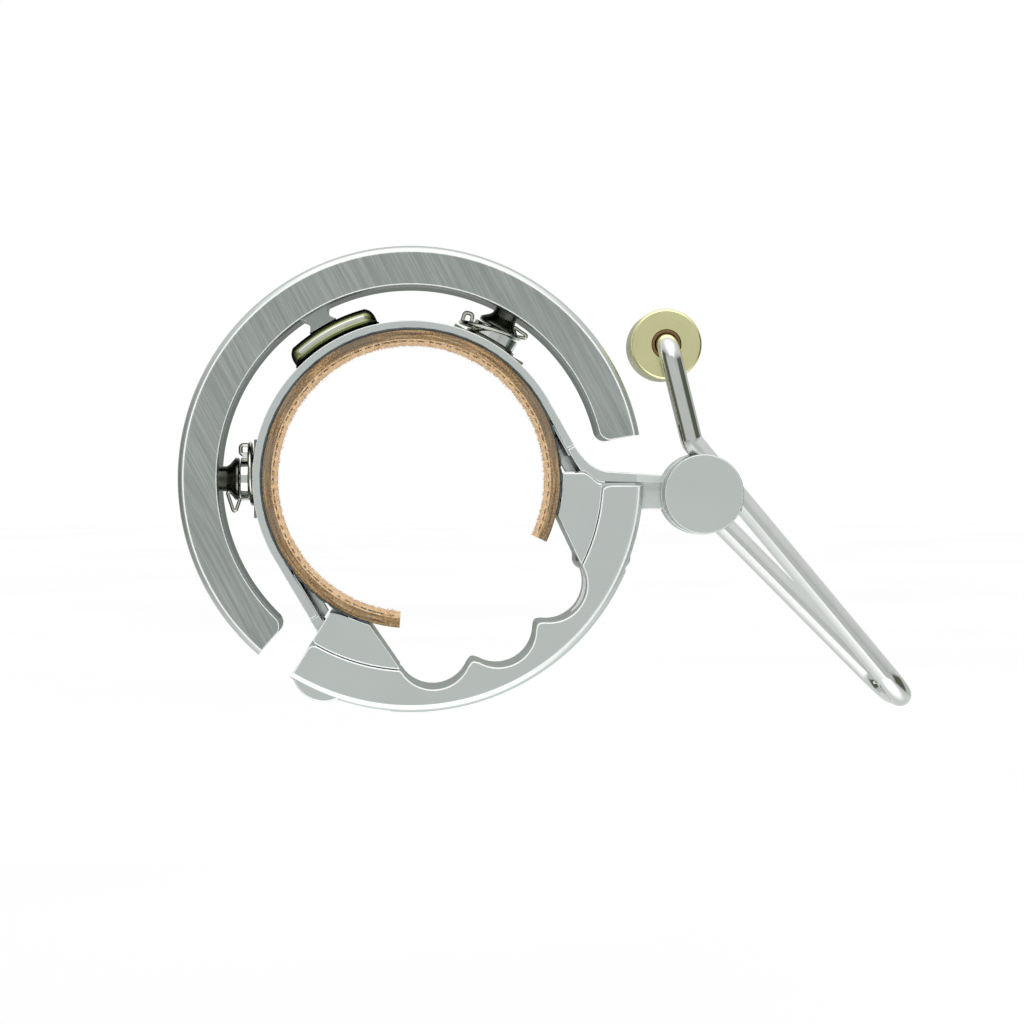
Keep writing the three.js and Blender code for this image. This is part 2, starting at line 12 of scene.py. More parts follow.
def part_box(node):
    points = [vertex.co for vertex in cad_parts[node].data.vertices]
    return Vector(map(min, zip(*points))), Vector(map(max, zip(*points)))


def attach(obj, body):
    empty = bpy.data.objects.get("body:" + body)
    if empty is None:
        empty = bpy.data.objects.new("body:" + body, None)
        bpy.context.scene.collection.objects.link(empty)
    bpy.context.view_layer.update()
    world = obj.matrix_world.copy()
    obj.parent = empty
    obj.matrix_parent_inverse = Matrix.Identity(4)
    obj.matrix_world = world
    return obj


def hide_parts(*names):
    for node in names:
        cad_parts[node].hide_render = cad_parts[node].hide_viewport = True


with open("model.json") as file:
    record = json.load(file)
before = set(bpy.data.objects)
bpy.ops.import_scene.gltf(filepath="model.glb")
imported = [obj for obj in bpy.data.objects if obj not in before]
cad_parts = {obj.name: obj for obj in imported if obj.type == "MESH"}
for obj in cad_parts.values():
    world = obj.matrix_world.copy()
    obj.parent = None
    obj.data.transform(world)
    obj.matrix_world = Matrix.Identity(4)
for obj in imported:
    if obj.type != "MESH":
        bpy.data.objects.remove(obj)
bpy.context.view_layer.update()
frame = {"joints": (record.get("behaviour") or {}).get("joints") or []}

MM = 0.001

# ---- Places taken from the frame, in millimetres ------------------------------------------------


def node_box(node):
    low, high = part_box(node)
    return low / MM, high / MM


def joint_place(name):
    for joint in frame["joints"]:
        if joint["name"] == name:
            return Vector(joint["pos_m"]) / MM
    raise KeyError(name)


GONG_LOW, GONG_HIGH = node_box("gong")
RING_RADIUS = -GONG_LOW.x
HALF_WIDTH = GONG_HIGH.y
HINGE = joint_place("clamp_hinge")
PIVOT = joint_place("trigger_pivot")
BOLT = joint_place("clamp_bolt_turn")
HAMMER_LOW, HAMMER_HIGH = node_box("hammer")
HAMMER = (HAMMER_LOW + HAMMER_HIGH) / 2
CAP_LOW, CAP_HIGH = node_box("pivot_cap")
TRIM_FRONT = node_box("front_trim")[0].y

# ---- Design dimensions, in millimetres and degrees ----------------------------------------------

GAP = 0.3
FIT = 0.1
SYMMETRY_ANGLE = 120
EDGE_ROUND = 0.9
GONG_INNER = 22.1
PAD_TOP = 20.15
PAD_MIDDLE = 19.2
PAD_CENTRE = 118.8
BOLT_HEAD = 3.4
POCKET = 3.5
GONG_ENDS = (10.95, 229.05)
LINER = (15.9, 17.0)
LINER_ENDS = (-25, 265.5)
NAP_BULGE = 0.27
BACKING = (17.01, 17.03)
BACKING_ENDS = (-14, 253.9)
ARCH_INNER, ARCH_OUTER = 17.15, 18.06
ARCH_ENDS = {"right": 29.5, "left": 210.5}
SEAMS = {"right": 5.8, "left": 8.0}
TRIM_INSIDE = 4.9
LEDGE_INNER = 16.95
FLANGE_INNER = 16.1
COVER_INNER = 21.86
COVER_ENDS = (238.6, 361.4)
COVER_TOP = -0.74
RAISED = 0.17
RAISED_ENDS = (265, 337)
RECESS_ANGLES = (277.3, 300, 322.6)
RECESS_DISTANCE = 19.85
RECESS_RADIUS = 4.3
SADDLE_INNER, SADDLE_OUTER = 17.25, 21.75
SADDLE_TIP, SADDLE_HEEL = 253.9, 266.75
SADDLE_TOP = 0.7
SADDLE_HALF_WIDTH = 5.9
SWEEP_RADIUS = 6.6
CHEEK_RADIUS = 3.6
KNUCKLE_RADIUS = 2.8
LUG_HALF_WIDTH = 2.2
STUB_GAP = 0.9
FLANGE_END = 9.5
ARM_HALF_WIDTH = 3.7
ARM_BOTTOM = -3.5
FLANGE_BOTTOM = -0.44
HOUSING_RADIUS = 4.67
HOUSING_FRONT, HOUSING_REAR = -5.1, -0.6
WIRE_RADIUS = 1.25
LEG_Y = 6.5
TIP_FRONT, TIP_REAR, TIP_BEND = (56.3, -24.9), (56.35, -25.1), 3.4
KNEE = (31.95, 4.23)
HINGE_HOLE = 1.1
PIVOT_HOLE = 2.2
BOLT_HOLE = 2.3
BOLT_X = BOLT.x, 0, 0
POCKET_TOP = -6.3
HEAD_HEIGHT = 3.5
THREAD_CREST, THREAD_ROOT, THREAD_PITCH = 1.99, 1.7, 0.35
HEX_SOCKET = 1.73
BORE = 2.1
STITCH_ROW = 5.25
THROUGH = (-20, 20)
BEYOND = 60
CLEAR = 40
SMOOTH = 192

# ---- Outlines -----------------------------------------------------------------------------------


def polar(radius, angle):
    return Vector((radius * math.cos(math.radians(angle)), radius * math.sin(math.radians(angle))))


def arc(radius, start, end, centre=(0, 0), step=1.5):
    """Points along an arc, from start to end in degrees."""
    count = max(2, math.ceil(abs(end - start) / step))
    middle = Vector(centre)
    return [middle + polar(radius, start + (end - start) * i / count) for i in range(count + 1)]


def bezier(start, first, second, end, count=12):
    points = [Vector(p) for p in (start, first, second, end)]
    result = []
    for i in range(count + 1):
        t = i / count
        weights = ((1 - t) ** 3, 3 * t * (1 - t) ** 2, 3 * t * t * (1 - t), t ** 3)
        result.append(sum((w * p for w, p in zip(weights, points)), Vector((0, 0))))
    return result


def rounded(corners, step):
    """A closed outline with its corners rounded; each corner is (x, z, radius)."""
    result = []
    count = len(corners)
    for i, (x, z, radius) in enumerate(corners):
        here = Vector((x, z))
        if radius <= 0:
            result.append(here)
            continue
        before = (Vector(corners[i - 1][:2]) - here).normalized()
        after = (Vector(corners[(i + 1) % count][:2]) - here).normalized()
        half = before.angle(after) / 2
        centre = here + (before + after).normalized() * radius / math.sin(half)
        first = here + before * radius / math.tan(half) - centre
        last = here + after * radius / math.tan(half) - centre
        turn = first.angle_signed(last)
        pieces = max(1, math.ceil(math.degrees(abs(turn)) / step))
        for j in range(pieces + 1):
            angle = -turn * j / pieces
            spin = Matrix.Rotation(angle, 2)
            result.append(centre + spin @ first)
    return result


def on_straight(side, radius, distance):
    """A point on the arch's straight end, that far past the end of its round part."""
    tangent = ARCH_ENDS[side] + (-90 if side == "right" else 90)
    return polar(radius, ARCH_ENDS[side]) + polar(distance, tangent)


# ---- Mesh makers --------------------------------------------------------------------------------


def new_object(name, mesh):
    piece = bpy.data.objects.new(name, mesh)
    bpy.context.scene.collection.objects.link(piece)
    return piece


def mesh_object(name, points, faces):
    mesh = bpy.data.meshes.new(name)
    mesh.from_pydata([tuple(Vector(p) * MM) for p in points], [], faces)
    mesh.validate()
    work = bmesh.new()
    work.from_mesh(mesh)
    bmesh.ops.recalc_face_normals(work, faces=work.faces)
    work.to_mesh(mesh)
    work.free()
    mesh.shade_smooth()
    return new_object(name, mesh)


def bake_modifiers(piece):
    """Replaces the piece's mesh by what its modifiers make of it."""
    depsgraph = bpy.context.evaluated_depsgraph_get()
    made = bpy.data.meshes.new_from_object(piece.evaluated_get(depsgraph))
    piece.modifiers.clear()
    piece.data = made
    return piece


def soften_shading(piece, angle=32):
    piece.data.shade_smooth()
    piece.data.set_sharp_from_angle(angle=math.radians(angle))
    weighted = piece.modifiers.new("weighted", "WEIGHTED_NORMAL")
    weighted.keep_sharp = True
    weighted.weight = 90
    return piece


def prism(name, runs, front, rear, corner=0.15, segments=4):
    """An outline of (points, edge width) runs, extruded along Y, with each edge rounded to its width."""
    outline, widths = [], []
    for points, width in runs:
        for point in points:
            if outline and (Vector(point) - outline[-1]).length < 1e-4:
                widths[-1] = width
                continue
            outline.append(Vector(point))
            widths.append(width)
    if (outline[0] - outline[-1]).length < 1e-4:
        outline.pop()
        widths.pop()
    count = len(outline)
    area = sum(outline[i - 1].cross(outline[i]) for i in range(count))
    if area < 0:
        outline.reverse()
        widths = widths[-2::-1] + widths[-1:]
    widest = max(max(widths), corner, 0.01)
    work = bmesh.new()
    weight = work.edges.layers.float.new("bevel_weight_edge")
    rings = [[work.verts.new((x * MM, y * MM, z * MM)) for x, z in outline] for y in (front, rear)]
    work.faces.new(rings[0])
    work.faces.new(reversed(rings[1]))
    for i in range(count):
        j = (i + 1) % count
        work.faces.new((rings[0][j], rings[0][i], rings[1][i], rings[1][j]))
    for i in range(count):
        j = (i + 1) % count
        for ring in rings:
            work.edges.get((ring[i], ring[j]))[weight] = widths[i] / widest
        before, after = outline[i] - outline[i - 1], outline[j] - outline[i]
        if before.angle(after, 0) > math.radians(25):
            work.edges.get((rings[0][i], rings[1][i]))[weight] = corner / widest
    mesh = bpy.data.meshes.new(name)
    work.to_mesh(mesh)
    work.free()
    piece = new_object(name, mesh)
    if widest > 0.01:
        bevel = piece.modifiers.new("bevel", "BEVEL")
        bevel.width = widest * MM
        bevel.limit_method = "WEIGHT"
        bevel.segments = segments
        bevel.use_clamp_overlap = False
        bake_modifiers(piece)
    return piece


def combine(piece, tools, operation):
    """Joins tools to the piece, or cuts them from it, and throws the tools away."""
    for part in (piece, *tools):
        part.modifiers.clear()
        part.data.transform(Matrix.Scale(1 / MM, 4))
    for tool in tools:
        change = piece.modifiers.new("combine", "BOOLEAN")
        change.operation = operation
        change.solver = "MANIFOLD"
        change.object = tool
    bpy.context.view_layer.update()
    bake_modifiers(piece)
    piece.data.transform(Matrix.Scale(MM, 4))
    for tool in tools:
        bpy.data.objects.remove(tool)
    return piece


def turned(name, profile, centre=(0, 0, 0), axis="Y", segments=96):
    """A closed (radius, height) profile turned round an axis through the centre."""
    points, faces = [], []
    loop = list(profile)
    closed = loop[0][0] > 1e-6 or loop[-1][0] > 1e-6
    for i in range(segments):
        angle = 2 * math.pi * i / segments
        for radius, height in loop:
            points.append((radius * math.cos(angle), height, -radius * math.sin(angle)))
    size = len(loop)
    for i in range(segments):
        j = (i + 1) % segments
        for k in range(size if closed else size - 1):
            m = (k + 1) % size
            faces.append((i * size + k, j * size + k, j * size + m, i * size + m))
    mesh = bpy.data.meshes.new(name)
    mesh.from_pydata([tuple(Vector(p) * MM) for p in points], [], faces)
    work = bmesh.new()
    work.from_mesh(mesh)
    bmesh.ops.remove_doubles(work, verts=work.verts, dist=1e-6)
    bmesh.ops.recalc_face_normals(work, faces=work.faces)
    work.to_mesh(mesh)
    work.free()
    if axis == "X":
        mesh.transform(Matrix.Rotation(-math.pi / 2, 4, "Z"))
    elif axis == "Z":
        mesh.transform(Matrix.Rotation(math.pi / 2, 4, "X"))
    mesh.transform(Matrix.Translation(Vector(centre) * MM))
    return soften_shading(new_object(name, mesh), 40)


def lathe_profile(corners):
    """A turned profile with rounded corners, ends left on the axis where they are."""
    return [tuple(p) for p in rounded(corners, step=12)]


def disc_profile(radius, low, high, low_edge, high_edge):
    return lathe_profile([(0, low, 0), (radius, low, low_edge), (radius, high, high_edge), (0, high, 0)])


def sleeve_profile(inner, outer, low, high, bore_edge=0.08, rim_edge=0.08):
    return lathe_profile([(inner, low, bore_edge), (outer, low, rim_edge), (outer, high, rim_edge),
                          (inner, high, bore_edge)])


def rod(x, z, radius, front, rear, segments=64):
    profile = [(0, front), (radius, front), (radius, rear), (0, rear)]
    return turned("cutter", profile, (x, 0, z), segments=segments)


def upright(x, radius, bottom, top, segments=64):
    profile = [(0, bottom), (radius, bottom), (radius, top), (0, top)]
    return turned("cutter", profile, (x, 0, 0), axis="Z", segments=segments)


def block(x_from, x_to, y_from, y_to, z_from, z_to):
    corners = [(x_from, z_from), (x_to, z_from), (x_to, z_to), (x_from, z_to)]
    return prism("cutter", [(corners, 0)], y_from, y_to, corner=0)


def bent_path(corners, step=5, run=3.0):
    """Points along straight runs whose corners are arcs; each corner is (x, y, z, bend radius)."""
    places = [Vector(c[:3]) for c in corners]
    path = [places[0]]
    for i in range(1, len(places) - 1):
        before = (places[i - 1] - places[i]).normalized()
        after = (places[i + 1] - places[i]).normalized()
        half = before.angle(after) / 2
        radius = corners[i][3]
        centre = places[i] + (before + after).normalized() * radius / math.sin(half)
        first = places[i] + before * radius / math.tan(half) - centre
        last = places[i] + after * radius / math.tan(half) - centre
        normal = first.cross(last).normalized()
        turn = first.angle(last)
        pieces = max(2, math.ceil(math.degrees(turn) / step))
        for j in range(pieces + 1):
            path.append(centre + Matrix.Rotation(turn * j / pieces, 3, normal) @ first)
    path.append(places[-1])
    filled = [path[0]]
    for point in path[1:]:
        gap = point - filled[-1]
        pieces = max(1, math.ceil(gap.length / run))
        start = filled[-1]
        filled += [start + gap * j / pieces for j in range(1, pieces + 1)]
    return filled


def tube_faces(stations, sides, flip_sides=False, flip_ends=False):
    """The faces over that many rings of points, with both ends capped. The way round a face is
    listed decides where its quad is split, so each caller keeps its own.
    """
    faces = []
    for i in range(stations - 1):
        here, beyond = i * sides, (i + 1) * sides
        for k in range(sides):
            m = (k + 1) % sides
            face = (here + k, here + m, beyond + m, beyond + k)
            faces.append(face[:1] + face[:0:-1] if flip_sides else face)
    first, last = tuple(range(sides)), tuple(range((stations - 1) * sides, stations * sides))
    return faces + ([first, last[::-1]] if flip_ends else [first[::-1], last])


def swept(name, path, radius, sides=28, round_ends=True):
    """A round wire along a path, with domed or flat ends."""
    path = [Vector(p) for p in path]
    tangents = []
    for i in range(len(path)):
        low, high = max(0, i - 1), min(len(path) - 1, i + 1)
        tangents.append((path[high] - path[low]).normalized())
    side = tangents[0].orthogonal().normalized()
    stations = []
    for i, point in enumerate(path):
        if i:
            side = tangents[i - 1].rotation_difference(tangents[i]) @ side
        side = (side - tangents[i] * side.dot(tangents[i])).normalized()
        stations.append((point, tangents[i], side.copy(), radius))
    if round_ends:
        rings = [(0.97, 0.25), (0.8, 0.6), (0.45, 0.9)]
        start, finish = stations[0], stations[-1]
        head = [(start[0] - start[1] * radius * rise, start[1], start[2], radius * scale)
                for scale, rise in reversed(rings)]
        tail = [(finish[0] + finish[1] * radius * rise, finish[1], finish[2], radius * scale)
                for scale, rise in rings]
        stations = head + stations + tail
    points = []
    for place, tangent, across, size in stations:
        up = tangent.cross(across)
        for k in range(sides):
            angle = 2 * math.pi * k / sides
            points.append(place + (across * math.cos(angle) + up * math.sin(angle)) * size)
    return soften_shading(mesh_object(name, points, tube_faces(len(stations), sides)), 50)


def place_on_radius(piece, angle):
    """Turns a piece made on the +X radius to another radius of the ring."""
    piece.data.transform(Matrix.Rotation(-math.radians(angle), 4, "Y"))
    return piece


def mark_edges(piece, low=0.12, high=0.975, rim=0.9):
    """Gives the rounded front and rear edges the second material, the painted edge highlight; a wide rim only
    where it begins.
    """
    for face in piece.data.polygons:
        facing = abs(face.normal.y)
        centre = face.center / MM
        on_rim = math.hypot(centre.x, centre.z) > RING_RADIUS - EDGE_ROUND - 0.05
        if low < facing < high and (facing > rim or not on_rim):
            face.material_index = 1


def dress(piece, body, nodes, material):
    """The piece rides on a body, stands for CAD nodes and takes a material."""
    piece.data.materials.clear()
    if material in EDGES:
        mark_edges(piece)
        piece.data.materials.append(material)
        piece.data.materials.append(EDGES[material])
    else:
        piece.data.materials.append(material)
    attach(piece, body)
    if nodes:
        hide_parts(*nodes)
    return piece


# ---- Materials ----------------------------------------------------------------------------------


def fill_ramp(elements, stops):
    elements.remove(elements[1])
    elements[0].position = stops[0][0]
    elements[0].color = (*stops[0][1], 1)
    for place, colour in stops[1:]:
        elements.new(place).color = (*colour, 1)


class Nodes:
    """A short way to write a node tree."""

    def __init__(self, tree):
        self.tree = tree
        self.tree.nodes.clear()

    def put(self, value, socket):
        if isinstance(value, bpy.types.NodeSocket):
            self.tree.links.new(value, socket)
        else:
            socket.default_value = value

    def node(self, kind, inputs=(), output=0, **settings):
        made = self.tree.nodes.new("ShaderNode" + kind)
        for key, value in settings.items():
            setattr(made, key, value)
        for key, value in dict(inputs).items():
            self.put(value, made.inputs[key])
        return made.outputs[output]

    def math(self, operation, first, second=0.0):
        return self.node("Math", {0: first, 1: second}, operation=operation)

    def add(self, first, second):
        return self.math("ADD", first, second)

    def times(self, first, second):
        return self.math("MULTIPLY", first, second)

    def place(self):
        return self.node("TexCoord", output="Object")

    def mapped(self, scale, rotation=(0, 0, 0)):
        turned_place = self.node("Mapping", {"Vector": self.place(), "Rotation": rotation},
                                 vector_type="TEXTURE")
        return self.node("Mapping", {"Vector": turned_place, "Scale": scale})

    def noise(self, vector, scale, detail=3, roughness=0.55, distortion=0.0):
        inputs = {"Vector": vector, "Scale": scale, "Detail": detail, "Roughness": roughness,
                  "Distortion": distortion}
        return self.node("TexNoise", inputs)

    def split(self, vector):
        parts = self.tree.nodes.new("ShaderNodeSeparateXYZ")
        self.put(vector, parts.inputs[0])
        return parts.outputs

    def length(self, first, second):
        squares = [self.times(side, side) for side in (first, second)]
        return self.math("SQRT", self.add(*squares))

    def spread(self, value, low, high, start=0.0, end=1.0):
        inputs = {"Value": value, "From Min": low, "From Max": high, "To Min": start, "To Max": end}
        return self.node("MapRange", inputs, clamp=True)

    def ramp(self, value, stops):
        made = self.tree.nodes.new("ShaderNodeValToRGB")
        self.put(value, made.inputs[0])
        fill_ramp(made.color_ramp.elements, stops)
        return made.outputs[0]

    def mix(self, factor, first, second):
        made = self.tree.nodes.new("ShaderNodeMix")
        made.data_type = "RGBA"
        self.put(factor, made.inputs[0])
        self.put(first, made.inputs[6])
        self.put(second, made.inputs[7])
        return made.outputs[2]

    def bump(self, height, strength, distance, normal=None):
        inputs = {"Height": height, "Strength": strength, "Distance": distance}
        if normal is not None:
            inputs["Normal"] = normal
        return self.node("Bump", inputs)


class Shader(Nodes):
    """A material whose surface is one principled shader."""

    def __init__(self, name, **settings):
        self.material = bpy.data.materials.new(name)
        self.material.use_nodes = True
        super().__init__(self.material.node_tree)
        output = self.tree.nodes.new("ShaderNodeOutputMaterial")
        self.surface = self.tree.nodes.new("ShaderNodeBsdfPrincipled")
        self.tree.links.new(self.surface.outputs[0], output.inputs[0])
        self.feed(**settings)

    def feed(self, **sockets):
        for key, value in sockets.items():
            self.put(value, self.surface.inputs[key.replace("_", " ")])
        return self.material


def rim_haze(s):
    """Extra roughness where hands rub the outer rim, most at the bell's two sides."""
    _, _, radius = along_ring(s)
    level = s.math("DIVIDE", s.math("ABSOLUTE", s.split(s.place())[2]), radius)
    on_rim = s.spread(radius, (RING_RADIUS - 1) * MM, (RING_RADIUS - 0.7) * MM)
    return s.times(on_rim, s.spread(level, 0.35, 0.75, 0.32, 0.0))


def satin_steel(name, dark, light):
    """Fine cast and tumbled steel, with faint clouding and hairline marks."""
    s = Shader(name, Metallic=1.0)
    cloud = s.noise(s.place(), 140, 4)
    grain = s.noise(s.place(), 4200, 2)
    marks = s.noise(s.mapped((9000, 500, 700), (0, 0.7, 0)), 1, 2)
    rough = s.add(s.spread(cloud, 0.3, 0.7, 0.16, 0.18), s.spread(grain, 0.35, 0.75, 0.0, 0.01))
    rough = s.add(rough, s.spread(marks, 0.62, 0.75, 0.0, 0.02))
    rough = s.add(rough, rim_haze(s))
    normal = s.bump(grain, 0.02, 0.000003, s.bump(marks, 0.02, 0.000003))
    return s.feed(Base_Color=s.ramp(cloud, [(0.3, dark), (0.7, light)]), Roughness=rough, Normal=normal)


def painted_edge_highlight():
    """Where hands and cloths rub the edges they are scuffed a little rougher; their near-white colour is a
    painted highlight, brighter than the faces.
    """
    s = Shader("painted_edge_highlight", Metallic=0.3)
    wear_and_highlight = s.noise(s.place(), 600, 3)
    # Near-white colour: the painted highlight along the rounded edges.
    colour = s.ramp(wear_and_highlight, [(0.3, (0.90, 0.92, 0.90)), (0.7, (1.0, 1.0, 1.0))])
    return s.feed(Base_Color=colour, Roughness=s.spread(wear_and_highlight, 0.3, 0.7, 0.54, 0.62))


def brushed_steel(lean):
    """Straight brushing across the flat faces, leaning that far from +X towards +Z, a buffed rim, and painted
    reflection and shade in the bore.
    """
    s = Shader("brushed_steel", Metallic=1.0)
    turn = (0, -math.radians(lean), 0)
    fine = s.noise(s.mapped((110, 110, 8200), turn), 1, 4, 0.8)
    broad = s.noise(s.mapped((90, 90, 2300), turn), 1, 2, 0.5)
    facing = s.node("SeparateXYZ", {0: s.node("NewGeometry", output="Normal")}, output=1)
    flat = s.spread(s.math("ABSOLUTE", facing), 0.9, 0.98)
    lines = s.add(s.times(fine, 0.7), s.times(broad, 0.3))
    brushed = s.ramp(lines, [(0.38, (0.44, 0.48, 0.455)), (0.5, (0.53, 0.57, 0.545)),
                             (0.6, (0.66, 0.70, 0.675))])
    buffed = s.ramp(s.noise(s.place(), 160, 3), [(0.3, (0.66, 0.69, 0.67)), (0.7, (0.72, 0.75, 0.73))])
    _, width, radius = along_ring(s)
    # Painted reflection and shade in the bore: a darker line at the front edge, lighter over the front third,
    # dark from about the middle to the rear.
    painted_bore_shade = s.ramp(s.spread(width, -HALF_WIDTH * MM, HALF_WIDTH * MM), [
        (0.0, (0.30, 0.33, 0.31)), (0.06, (0.44, 0.47, 0.45)), (0.34, (0.42, 0.45, 0.43)),
        (0.42, (0.13, 0.15, 0.135)), (1.0, (0.11, 0.13, 0.115))])
    outside = s.spread(radius, (GONG_INNER + 0.05) * MM, (GONG_INNER + 0.1) * MM)
    colour = s.mix(flat, s.mix(outside, painted_bore_shade, buffed), brushed)
    rough = s.add(0.15, s.times(flat, s.spread(lines, 0.35, 0.65, 0.02, 0.08)))
    rough = s.add(rough, rim_haze(s))
    in_bore = s.times(s.math("SUBTRACT", 1.0, outside), s.math("SUBTRACT", 1.0, flat))
    dull = s.spread(width, -2.0 * MM, -1.2 * MM, 0.3, 0.0)
    rough = s.add(rough, s.times(in_bore, dull))
    depth = s.times(lines, flat)
    return s.feed(Base_Color=colour, Roughness=rough, Normal=s.bump(depth, 0.12, 0.00001))


def polished_steel(name, light, dark, roughness):
    """Mirror-polished metal with faint haze and handling marks."""
    s = Shader(name, Metallic=1.0)
    haze = s.noise(s.place(), 420, 5, 0.6)
    swirl = s.noise(s.mapped((2600, 2600, 300)), 1, 2)
    colour = s.ramp(haze, [(0.3, dark), (0.7, light)])
    hazed = s.spread(haze, 0.35, 0.75, roughness, roughness + 0.05)
    rough = s.add(hazed, s.spread(swirl, 0.6, 0.8, 0.0, 0.04))
    return s.feed(Base_Color=colour, Roughness=rough, Normal=s.bump(haze, 0.04, 0.00003))


def turned_metal(name, centre, light, dark, roughness, pitch=7000):
    """Metal with fine turning rings round an axis along Y."""
    s = Shader(name, Metallic=1.0)
    x, _, z = s.split(s.place())
    radius = s.length(s.math("SUBTRACT", x, centre.x * MM), s.math("SUBTRACT", z, centre.z * MM))
    rings = s.noise(s.node("CombineXYZ", {0: s.times(radius, pitch)}), 1, 3)
    stain = s.noise(s.place(), 260, 4)
    lines = s.add(s.times(rings, 0.5), s.times(stain, 0.5))
    colour = s.ramp(lines, [(0.34, dark), (0.62, light)])
    rough = s.spread(lines, 0.3, 0.7, roughness, roughness + 0.12)
    return s.feed(Base_Color=colour, Roughness=rough, Normal=s.bump(rings, 0.12, 0.00002))


def painted_pad_reflection():
    """Polished half-round bar with its reflection painted in: a near-white painted highlight along its crown,
    olive then black painted shade where it turns away.
    """
    s = Shader("painted_pad_reflection", Metallic=1.0)
    along, _, radius = along_ring(s)
    haze = s.noise(s.place(), 420, 4)
    centre = math.radians(PAD_CENTRE) * LINER[0] * MM
    past_end = s.math("SUBTRACT", s.math("ABSOLUTE", s.math("SUBTRACT", along, centre)), 3.3 * MM)
    past_end = s.math("MAXIMUM", past_end, 0.0)
    sideways = s.math("SUBTRACT", radius, PAD_MIDDLE * MM)
    off_crown = s.length(sideways, past_end)
    uneven = s.times(s.math("SUBTRACT", haze, 0.5), 0.12 * MM)
    # Painted reflection: near white on the crown, through olive to black off the crown and past the ends.
    colour = s.ramp(s.spread(s.add(off_crown, uneven), 0, MM), [
        (0.16, (0.85, 0.86, 0.80)), (0.3, (0.36, 0.38, 0.22)), (0.6, (0.16, 0.18, 0.07)),
        (0.92, (0.025, 0.028, 0.018))])
    return s.feed(Base_Color=colour, Roughness=s.spread(haze, 0.3, 0.7, 0.06, 0.1))


def along_ring(s):
    """A texture place that follows the ring: (distance along it, width, radius), in metres."""
    x, y, z = s.split(s.place())
    return s.times(s.math("ARCTAN2", z, x), LINER[0] * MM), y, s.length(x, z)


def leather_edge():
    """The cut edge: fibre layers that run along the strip, darker where it was burnished."""
    s = Shader("leather_edge", Roughness=0.7)
    along, width, radius = along_ring(s)
    scaled = [s.times(*pair) for pair in ((along, 260), (width, 800), (radius, 5200))]
    stretched = s.node("CombineXYZ", dict(enumerate(scaled)))
    fibres = s.noise(stretched, 1, 4, 0.6)
    speckle = s.noise(s.place(), 5200, 2)
    patches = s.noise(s.place(), 120, 2)
    tone = s.add(s.times(fibres, 0.6), s.times(speckle, 0.4))
    brown = s.ramp(tone, [(0.41, (0.10, 0.058, 0.025)), (0.51, (0.30, 0.182, 0.078)),
                          (0.62, (0.56, 0.385, 0.20))])
    grey = s.ramp(tone, [(0.34, (0.11, 0.08, 0.048)), (0.64, (0.29, 0.215, 0.135))])
    colour = s.mix(s.spread(patches, 0.42, 0.62), brown, grey)
    rim = s.spread(radius, LINER[0] * MM, (LINER[0] + 0.12) * MM, 1.0, 0.0)
    colour = s.mix(s.times(rim, 0.6), colour, (0.06, 0.03, 0.012, 1))
    return s.feed(Base_Color=colour, Roughness=s.spread(tone, 0.3, 0.7, 0.62, 0.82),
                  Normal=s.bump(tone, 0.6, 0.00006))


def suede():
    """The napped inner side."""
    s = Shader("suede", Roughness=0.95, Sheen_Weight=0.08, Sheen_Roughness=0.6)
    nap = s.noise(s.place(), 2600, 4, 0.65)
    blotch = s.noise(s.place(), 700, 3)
    tone = s.add(s.times(nap, 0.55), s.times(blotch, 0.45))
    colour = s.ramp(tone, [(0.34, (0.38, 0.22, 0.095)), (0.46, (0.76, 0.52, 0.28)),
                           (0.62, (0.97, 0.76, 0.50))])
    return s.feed(Base_Color=colour, Normal=s.bump(tone, 0.9, 0.00012))


def leather_grain():
    """The outer, grained side of the strip."""
    s = Shader("leather_grain", Roughness=0.55)
    cells = s.node("TexVoronoi", {"Vector": s.place(), "Scale": 2600}, feature="DISTANCE_TO_EDGE")
    tone = s.noise(s.place(), 300, 4)
    colour = s.ramp(tone, [(0.3, (0.24, 0.13, 0.065)), (0.7, (0.40, 0.24, 0.13))])
    return s.feed(Base_Color=colour, Normal=s.bump(s.spread(cells, 0, 0.1), 0.5, 0.00005))


def mottled(name, roughness, scale, detail, stops, bump=None, sheen=0.0):
    """A dull material whose colour, relief and roughness follow one noise."""
    s = Shader(name, Roughness=roughness)
    tone = s.noise(s.place(), scale, detail)
    if bump:
        s.feed(Normal=s.bump(tone, *bump))
    if sheen:
        s.feed(Roughness=s.spread(tone, 0.3, 0.7, roughness - sheen, roughness + sheen))
    return s.feed(Base_Color=s.ramp(tone, stops))


STEEL = satin_steel("satin_steel", (0.83, 0.875, 0.855), (0.865, 0.91, 0.89))
CAP_STEEL = satin_steel("cap_steel", (0.69, 0.73, 0.705), (0.72, 0.76, 0.735))
# The lug takes a darker copy of the satin steel: painted shade from the gong and pad around it.
SHADED_LUG_STEEL = satin_steel("lug_steel_painted_shade", (0.42, 0.455, 0.43), (0.47, 0.505, 0.48))
GONG_STEEL = brushed_steel(-62)
CHROME = polished_steel("polished_steel", (0.86, 0.875, 0.86), (0.80, 0.815, 0.80), 0.05)
PAD_PAINTED_REFLECTION = painted_pad_reflection()
DARK_STEEL = polished_steel("dark_steel", (0.24, 0.245, 0.20), (0.15, 0.155, 0.12), 0.12)
